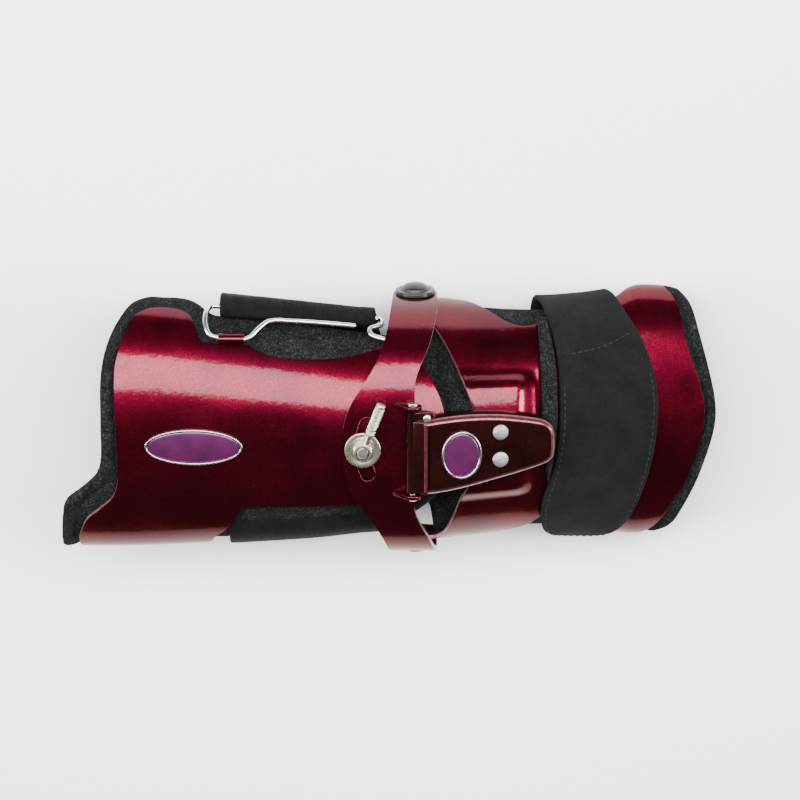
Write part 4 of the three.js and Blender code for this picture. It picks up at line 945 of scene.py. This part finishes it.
slot_x = HINGE_X - CLAMP_REACH
washer_z = YOKE_TOP + 0.05
nut_z = washer_z + WASHER + 0.05
bolt_top = nut_z + NUT + 1.2
bolt_foot = float(arm_point(FOREARM, slot_x, 90, GAP + PLATE)[2])
ridges = []
for k in range(14):
    z = nut_z - 1 + (bolt_top - 0.9 - nut_z + 1) * k / 13
    ridges += [(2.32, z), (2.5, z + 0.14)]
lathe("clamp_bolt_thread", [(0.001, bolt_foot), (2.5, bolt_foot), (2.5, nut_z - 1.2)] + ridges
      + [(2.45, bolt_top - 0.5), (1.95, bolt_top), (0.001, bolt_top)],
      moved(slot_x, 0, 0), "forearm", bright_steel, "clamp_bolt")
lathe("clamp_washer_disc", [(2.8, 0), (7.5, 0), (7.75, 0.2), (7.75, 0.75)] + arc((7.3, 0.75), 0.45, 0, 90)
      + [(5.6, WASHER), (5.4, 1.12), (4.6, 1.12), (4.4, WASHER), (2.8, WASHER), (2.8, 0)],
      moved(slot_x, 0, washer_z), "forearm", hardware, "clamp_washer")
clamp_frame = moved(slot_x, 0, nut_z) @ turned("Z", CLAMP_REST)
lathe("clamp_nut", [(2.8, 0), (3.7, 0), (4.0, 0.3), (4.0, 1.3), (3.8, 1.45), (3.8, 2.5), (4.0, 2.65)]
      + [(4.0, 3.5)] + arc((3.55, 3.5), 0.45, 0, 90) + [(2.8, NUT), (2.8, 0)],
      clamp_frame, "thumb_lever", hardware, "clamp_lever")
grip_frame = clamp_frame @ moved(3.4, 0, 2.0) @ turned("Y", 80)
lathe("clamp_lever_neck", [(0.001, -0.3), (1.5, -0.3), (1.35, 0.8), (1.1, 1.8), (1.1, 6.2), (0.001, 6.2)],
      grip_frame, "thumb_lever", hardware, sides=32)

steps, sides = 120, GRIP_RIDGES * 8
z = np.linspace(0, GRIP_LENGTH, steps + 1)[:, None]
angle = round_angles(sides)[None, :]
from_end = np.minimum(z, GRIP_LENGTH - z)
plain = smooth_step(0.1, 0.0, np.abs(z - 3.2) - 0.25)
cut_depth = 0.34 * smooth_step(0.9, 1.3, from_end) * (1 - plain)
knurl = np.minimum(*(np.abs(np.sin(GRIP_RIDGES / 2 * angle + lead * z)) for lead in (3.4, -3.4)))
radius = GRIP_RADIUS - 0.55 * (1 - round_edge(from_end, 0.9)) - cut_depth * (1 - knurl ** 0.7)
bar = np.stack([radius * np.cos(angle), radius * np.sin(angle), np.broadcast_to(z + 5.0, radius.shape)], -1)
grip = mesh_object("clamp_lever_grip", [grip_frame @ Vector(p) for p in bar.reshape(-1, 3)],
                   tube_faces(steps + 1, sides, caps=True), "thumb_lever", hardware)
named(shade_by_angle(tidy(grip)))

rivet_foot = float(arm_point(FOREARM, HINGE_X, 90, GAP + PLATE)[2])
lathe("yoke_rivet_head",
      [(0.001, rivet_foot), (2.5, rivet_foot), (2.5, YOKE_TOP + 0.1), (4.5, YOKE_TOP + 0.1)]
      + dome(4.5, YOKE_TOP + 0.2, 1.1, 0, 1.55, 9) + [(0.001, YOKE_TOP + 1.3)],
      moved(HINGE_X, 0, 0), "forearm", rivet_silver, "yoke_rivet")


# Wrist yoke

# Its arch from thumb side to little-finger side, with each point's distance along it
arch_angles = np.radians(np.linspace(0, 180, 3001))
arch_power = 2 / 2.7
arch_cos, arch_sin = np.cos(arch_angles), np.sin(arch_angles)
arch_y = (YOKE_HALF - YOKE_WALL / 2) * np.sign(arch_cos) * np.abs(arch_cos) ** arch_power
arch_z = PIVOT_HEIGHT + (YOKE_RISE - YOKE_WALL / 2) * np.abs(arch_sin) ** arch_power
arch_run = run_along(np.column_stack([arch_y, arch_z]))
arch_whole = arch_run[-1]

end_share = YOKE_END * (1 - np.cos(np.linspace(0, np.pi / 2, 14)))
run = np.concatenate([end_share - YOKE_END + 0.02, np.linspace(0, arch_whole, 170)[1:-1],
                      arch_whole + YOKE_END - 0.02 - end_share[::-1]])
beyond = np.maximum(np.maximum(-run, run - arch_whole), 0)
share = np.clip(0.5 - np.abs(run / arch_whole - 0.5), 0, 0.5)
chord = np.sqrt(np.maximum(YOKE_END ** 2 - beyond ** 2, 0.01))
back = np.where(beyond > 0, -chord, YOKE_REACH * smooth_at(YOKE_ROWS, share, 1))
front = np.where(beyond > 0, chord, YOKE_REACH * smooth_at(YOKE_ROWS, share, 2))
yoke_x = back[:, None] + (front - back)[:, None] * crowded(38, 0.5)
on_arch = np.clip(run, 0, arch_whole)
rest_y = np.interp(on_arch, arch_run, arch_y)
rest_z = np.interp(on_arch, arch_run, arch_z) - np.abs(run - on_arch)
points = np.stack(np.broadcast_arrays(yoke_x, rest_y[:, None], rest_z[:, None]), -1)
yoke = plate("yoke_band", points[::-1], "yoke", YOKE_WALL)

slot_half = SLOT_WIDTH / 2
swing = math.degrees((SLOT_SPAN / 2 - slot_half) / CLAMP_REACH)
ends = [(CLAMP_REACH * math.cos(math.radians(180 + s)), CLAMP_REACH * math.sin(math.radians(180 + s)))
        for s in (-swing, swing)]
slot_line = [(x + HINGE_X, y) for x, y in (
    arc((0, 0), CLAMP_REACH + slot_half, 180 - swing, 180 + swing, 30)
    + arc(ends[1], slot_half, 180 + swing, 360 + swing, 14)
    + arc((0, 0), CLAMP_REACH - slot_half, 180 + swing, 180 - swing, 30)
    + arc(ends[0], slot_half, -swing, 180 - swing, 14)
)]
cut(yoke, slot_line, YOKE_TOP - 12, 20)
named(shade_by_angle(yoke, 40), "yoke")
order = np.argsort(arch_y)
slot_round = np.array([(x, y, np.interp(y, arch_y[order], arch_z[order]) + YOKE_WALL / 2 - 0.22)
                       for x, y in slot_line + slot_line[:2]])
named(sweep("yoke_slot_edge", evenly(slot_round, 0.5), 0.42, "yoke", red_metal, 12, False))

tongue = [(-4.2, -6.6), (HINGE_X, -6.6)] + arc((HINGE_X, 0), 6.6, -90, 90, 24) + [(-4.2, 6.6)]
named(cutout("yoke_tongue", tongue, YOKE_WALL * 0.98, moved(0, 0, YOKE_TOP - YOKE_WALL * 0.985), "yoke",
             red_metal, 0.4))

ear_foot = YOKE_TOP - YOKE_WALL * 0.9
ear = [(LEVER_PIN_X - 10, ear_foot - 0.4), (LEVER_PIN_X, ear_foot - 0.4)] \
    + arc((LEVER_PIN_X, LEVER_PIN_Z), 3.9, -60, 120, 22) + [(LEVER_PIN_X - 8, ear_foot + 1.8)]
for side, y in (("thumb", EAR_SPAN + EAR_WALL), ("little", -EAR_SPAN)):
    named(cutout(f"yoke_ear_{side}", ear, EAR_WALL, moved(0, y, 0) @ turned("X", 90), "yoke", red_metal,
                 0.45))

reach = EAR_SPAN + EAR_WALL + 0.15
head = [(0.001, 0.95), (1.2, 0.92), (1.9, 0.68), (2.2, 0.3), (2.2, 0.0)]
pin = [(r, -reach - h) for r, h in head] + [(1.5, -reach), (1.5, reach)]
lathe("lever_pin_rod", pin + [(r, reach + h) for r, h in head[::-1]],
      moved(LEVER_PIN_X, 0, LEVER_PIN_Z) @ turned("X", 90), "yoke", bright_steel, "lever_pin", 40)

outside = YOKE_HALF + 0.1
inside = HAND["half"] - 2.2
cap = [(0.001, outside), (8.5, outside), (8.5, outside + 1.0)] + arc((7.9, outside + 1.0), 0.6, 0, 90) \
    + [(6.7, outside + 1.62), (6.45, outside + 1.3), (6.15, outside + 1.32)] \
    + dome(5.9, outside + 1.7, 2.7, 0) + [(0.001, outside + 4.4)]
foot = [(0.001, inside), (4.5, inside), (4.5, inside + 1.2), (0.001, inside + 1.2)]
for name, tilt in (("pivot_rivet_thumb", -90), ("pivot_rivet_little", 90)):
    sideways = moved(0, 0, PIVOT_HEIGHT) @ turned("X", tilt)
    lathe(f"{name}_cap", cap, sideways, "yoke", black_cap, name)
    lathe(f"{name}_foot", foot, sideways, "yoke", black_cap, sides=40)


# Support lever

lever_frame = moved(LEVER_PIN_X, 0, LEVER_PIN_Z) @ turned("Y", LEVER_FALL)


def eased(ring):
    """A closed ring of values with its corners softened."""
    for _ in range(4):
        ring = 0.25 * np.roll(ring, 1, 0) + 0.5 * ring + 0.25 * np.roll(ring, -1, 0)
    return ring


def lever_outline():
    """The lever's outline, smooth and evenly stepped, running anticlockwise."""
    along = np.linspace(0, 0.985, 60)
    x = along * LEVER_LENGTH + LEVER_BACK
    high, low = (np.column_stack([x, smooth_at(LEVER_ROWS, along, c) * LEVER_HALF]) for c in (1, 2))
    tip = [(LEVER_BACK + 0.998 * LEVER_LENGTH, s * LEVER_HALF) for s in (-0.06, 0.3)]
    return eased(evenly(np.vstack([low, tip, high[::-1], low[:1]]), 0.8)[:-1])


outline = lever_outline()
ahead = np.roll(outline, -1, 0) - np.roll(outline, 1, 0)
inward = eased(unit(np.column_stack([-ahead[:, 1], ahead[:, 0]])))
lever_foot = LEVER_TOP - LEVER_HEIGHT
rings = [(LEVER_WALL + 0.6, LEVER_TOP - LEVER_WALL), (LEVER_WALL, LEVER_TOP - LEVER_WALL - 0.6),
         (LEVER_WALL, lever_foot + 1), (LEVER_WALL, lever_foot), (0.35, lever_foot),
         (0.08, lever_foot + 0.12), (0, lever_foot + 0.4), (0, LEVER_TOP - SHOULDER - 1.5)]
shoulder_ring = len(rings)
rings += [(SHOULDER * (1 - math.cos(a)), LEVER_TOP - SHOULDER + SHOULDER * math.sin(a))
          for a in np.linspace(0, math.pi / 2, 9)]
rings += [(3.3, LEVER_TOP)]
around = len(outline)
points = [lever_frame @ Vector((*at, z)) for inset, z in rings for at in outline + inward * inset]
lever_box = mesh_object("lever_box_shell", points, tube_faces(len(rings), around, caps=True),
                        "support_lever", [lever_metal, lever_edge_highlight])
# The shoulder's rounded rings take the painted pink highlight.
for polygon in lever_box.data.polygons[(shoulder_ring + 1) * around:(shoulder_ring + 7) * around]:
    polygon.material_index = 1
tidy(lever_box)
lever_high, lever_low = (LEVER_ROWS[0, c] * LEVER_HALF for c in (1, 2))
mouth = [(LEVER_BACK + x, y) for x, y in (
    (-3, lever_low + LEVER_WALL + 0.8), (5, lever_low + LEVER_WALL + 0.8),
    (5, lever_high - LEVER_WALL - 0.8), (-3, lever_high - LEVER_WALL - 0.8))]
cut(lever_box, mouth, lever_foot - 1, LEVER_HEIGHT - LEVER_WALL + 0.6, lever_frame)
named(shade_by_angle(lever_box, 38), "lever_box")


def lever_part(name, outline, depth, matrix, soft):
    """A flat part of the lever, in the lever's own frame."""
    named(cutout(name, outline, depth, lever_frame @ matrix, "support_lever", lever_metal, soft))


lever_ear = [(LEVER_BACK + 5, -1.4), (LEVER_BACK + 5, 3.2), (1.2, 2.9)] + arc((0, 0), 2.9, 70, 280, 22)
for side, y in (("thumb", lever_high), ("little", lever_low + LEVER_WALL)):
    lever_part(f"lever_ear_{side}", lever_ear, LEVER_WALL, moved(0, y, 0) @ turned("X", 90), 0.4)

barrel_high = EAR_SPAN - 0.4
barrel = [(1.7, lever_low), (2.5, lever_low), (2.9, lever_low + 0.4), (2.9, barrel_high - 0.4),
          (2.5, barrel_high), (1.7, barrel_high), (1.7, lever_low)]
lathe("lever_hinge_barrel", barrel, lever_frame @ turned("X", -90), "support_lever", lever_metal,
      sides=48)
apron = [(-0.4, 1.35), (-0.4, 2.9), (LEVER_BACK + 2.4, LEVER_TOP), (LEVER_BACK + 2.4, LEVER_TOP - LEVER_WALL)]
lever_part("lever_hinge_apron", apron, lever_high - lever_low - 0.6,
           moved(0, lever_high - 0.3, 0) @ turned("X", 90), 0.6)
tab = [(0.4, lever_high - 1.5), (9.5, lever_high - 1.5)] + arc((6.4, barrel_high - 3.1), 3.1, 0, 90, 12) \
    + [(0.4, barrel_high)]
lever_part("lever_hinge_tab", tab, LEVER_WALL, moved(0, 0, 1.3), 0.45)
lathe("lever_tab_stud", [(0.001, 0), (1.7, 0), (1.7, 0.3)] + dome(1.7, 0.3, 0.7, steps=8) + [(0.001, 1.0)],
      lever_frame @ moved(5.6, barrel_high - 2.8, 2.88), "support_lever", bright_steel, sides=32)

badge("lever_badge", 17.6, 21.2,
      lever_frame @ moved(LEVER_BACK + 0.29 * LEVER_LENGTH, -0.6, LEVER_TOP + 0.02), "support_lever")
stud = [(0.001, 0), (3.3, 0), (3.4, 0.1), (3.4, 0.35)] + dome(3.4, 0.45, 0.85) + [(0.001, 1.3)]
for name, share in (("lever_rivet_upper", 0.47), ("lever_rivet_lower", -0.2)):
    at = moved(LEVER_BACK + 0.58 * LEVER_LENGTH, share * LEVER_HALF, LEVER_TOP - 0.02)
    lathe(f"{name}_dome", stud, lever_frame @ at, "support_lever", rivet_silver, name)


# Hand guard

along, turn = patch(HAND_PLATE_EDGES, 165, 108)
x = along * HAND["length"]
points = arm_point(HAND, x, turn, GAP + PLATE / 2 + boss_at(x, turn))
named(plate("hand_plate_sheet", points, "hand", PLATE), "hand_plate")
lined_pad("hand", HAND, HAND_PAD_EDGES, 0.74, 0.84, 11.0, 5.6)


def ribbon(rows, lift_at):
    """A strap round the hand guard: its points by share across and turn."""
    def point(u, turn):
        back, front = smooth_at(rows, turn, 1), smooth_at(rows, turn, 2)
        return arm_point(HAND, (back + (front - back) * u) * HAND["length"], turn, lift_at(turn))
    return point


def hand_strap_lift(turn):
    return GAP + STRAP / 2 + HAND_STRAP_LIFT * smooth_step(-60, -10, turn)


hand_ribbon = ribbon(HAND_STRAP_ROWS, hand_strap_lift)
fine = even_rows(hand_ribbon, *HAND_STRAP_ROWS[[0, -1], 0], 300)
flap_end = [170.4, 170.3, 170.1, 169.8, 169.4, 169.0, 168.5]
hand_points = strap_grid(hand_ribbon, 66, 0.6, np.concatenate([flap_end, fine[fine < 168.2]]))
hand_strap = strap_skin("hand_strap_webbing", hand_points, "hand", knit, "hand_strap")

cushion_ribbon = ribbon(CUSHION_ROWS, lambda turn: HAND_STRAP_LIFT + GAP + CUSHION / 2 + 0 * turn)
cushion_rows = even_rows(cushion_ribbon, *CUSHION_ROWS[[0, -1], 0], 150)
cushion_points = strap_grid(cushion_ribbon, 26, 0.5, cushion_rows)
rounded = round_edge(rim_distance(cushion_points), 1.6)
lumps = 0.25 * ripple(cushion_points, 3.5, 5) + 0.15 * ripple(cushion_points, 1.6, 9)
puff = CUSHION / 2 * rounded
cushion = shell("strap_cushion_foam", cushion_points, normals_of(cushion_points), puff + lumps * rounded,
                -puff, "hand", lining)
named(cushion, "strap_cushion")


# Stitch lines, a little inside the straps' edges

def along_strap(name, point_at, path, body):
    """Stitches along places on a strap, given as shares across and places along."""
    path = np.asarray(path, float)
    u, place = at_places(np.linspace(0, len(path) - 1, 40 * len(path)), np.arange(len(path)), path).T
    line = point_at(u, place)
    side = point_at(u + 0.01, place) - point_at(u - 0.01, place)
    ahead = point_at(u, place + 0.2) - point_at(u, place - 0.2)
    normal = unit(np.cross(side, ahead))
    outward = (line - (0, line[:, 1].mean(), 30)) * (0, 1, 1)
    normal *= np.sign(np.sum(normal * outward, axis=1, keepdims=True))
    return named(stitches(name, line + normal * STRAP / 2, normal, body))


edge_turns = [64, 80, 100, 120, 140, 155, 162]
flap = [(0.05, t) for t in edge_turns] + [(0.16, 166.3), (0.36, 168.0), (0.64, 168.0), (0.84, 166.3)]
flap += [(0.95, t) for t in edge_turns[::-1]]
cross = [(0.16, 49), (0.5, 47.5), (0.92, 44.5)]
hand_stitches = [along_strap(f"hand_strap_{name}_stitch", hand_ribbon, path, "hand")
                 for name, path in (("flap", flap), ("cross", cross))]
end_stitches = [
    along_strap(f"forearm_strap_end_stitch_{k}", strap_point, [(0.04, last_row - d), (0.96, last_row - d)],
                "forearm")
    for k, d in enumerate((0.3, 0.62))
]


# Floor, light and camera

floor_mesh = bpy.data.meshes.new("floor")
floor_mesh.from_pydata([(x * FLOOR_HALF, y * FLOOR_HALF, 0) for x, y in ((-1, -1), (1, -1), (1, 1), (-1, 1))],
                       [], [(0, 1, 2, 3)])
floor = added("floor", floor_mesh)
floor_look = Look("pale_floor")
pale = floor_look.ramp(floor_look.noise(0.4, 2), (0.3, (0.93, 0.93, 0.935)), (0.7, (0.95, 0.95, 0.955)))
floor_look.set(Base_Color=pale, Roughness=0.9, Specular_IOR_Level=0.1)
floor_mesh.materials.append(floor_look.material)

world = bpy.data.worlds.new("pale_studio")
bpy.context.scene.world = world
world.use_nodes = True
world.node_tree.nodes["Background"].inputs["Color"].default_value = (1, 1, 1, 1)
world.node_tree.nodes["Background"].inputs["Strength"].default_value = 0.16


def lamp(name, kind, power, towards, where=(0, 0, 0)):
    light = bpy.data.lights.new(name, kind)
    light.energy = power
    made = added(name, light)
    made.location = where
    made.rotation_euler = Vector(towards).to_track_quat("-Z", "Y").to_euler()
    return light


# A long softbox over the thumb side makes the bright band along the metal
elevation, distance = math.radians(65), 0.95
aim = Vector((-0.05, 0, 0.05))
where = Vector((-0.05, distance * math.cos(elevation), 0.03 + distance * math.sin(elevation)))
softbox = lamp("long_softbox", "AREA", 42, aim - where, where)
softbox.shape = "RECTANGLE"
softbox.size, softbox.size_y = 1.5, 0.42
for name, towards in (("left_side", (0.87, -0.1, -0.5)), ("right_side", (-0.87, -0.05, -0.5))):
    lamp(name, "SUN", 4.2, towards).angle = math.radians(20)

# The photo's view, from above and tilted to the thumb side
tilt = math.radians(17)
target = Vector((0.0052, 0.00941, 0.0346))
direction = Vector((0, math.sin(tilt), math.cos(tilt)))
image_up = Vector((0, math.cos(tilt), -math.sin(tilt)))
camera_data = bpy.data.cameras.new("photo_camera")
camera_data.sensor_width = 36
camera_data.lens = 36 * PHOTO_DISTANCE / PHOTO_WIDTH
camera = added("photo_camera", camera_data)
camera.matrix_world = Matrix.Translation(target + direction * PHOTO_DISTANCE) @ Matrix(
    ((1, 0, 0), image_up, direction)).transposed().to_4x4()
bpy.context.scene.camera = camera
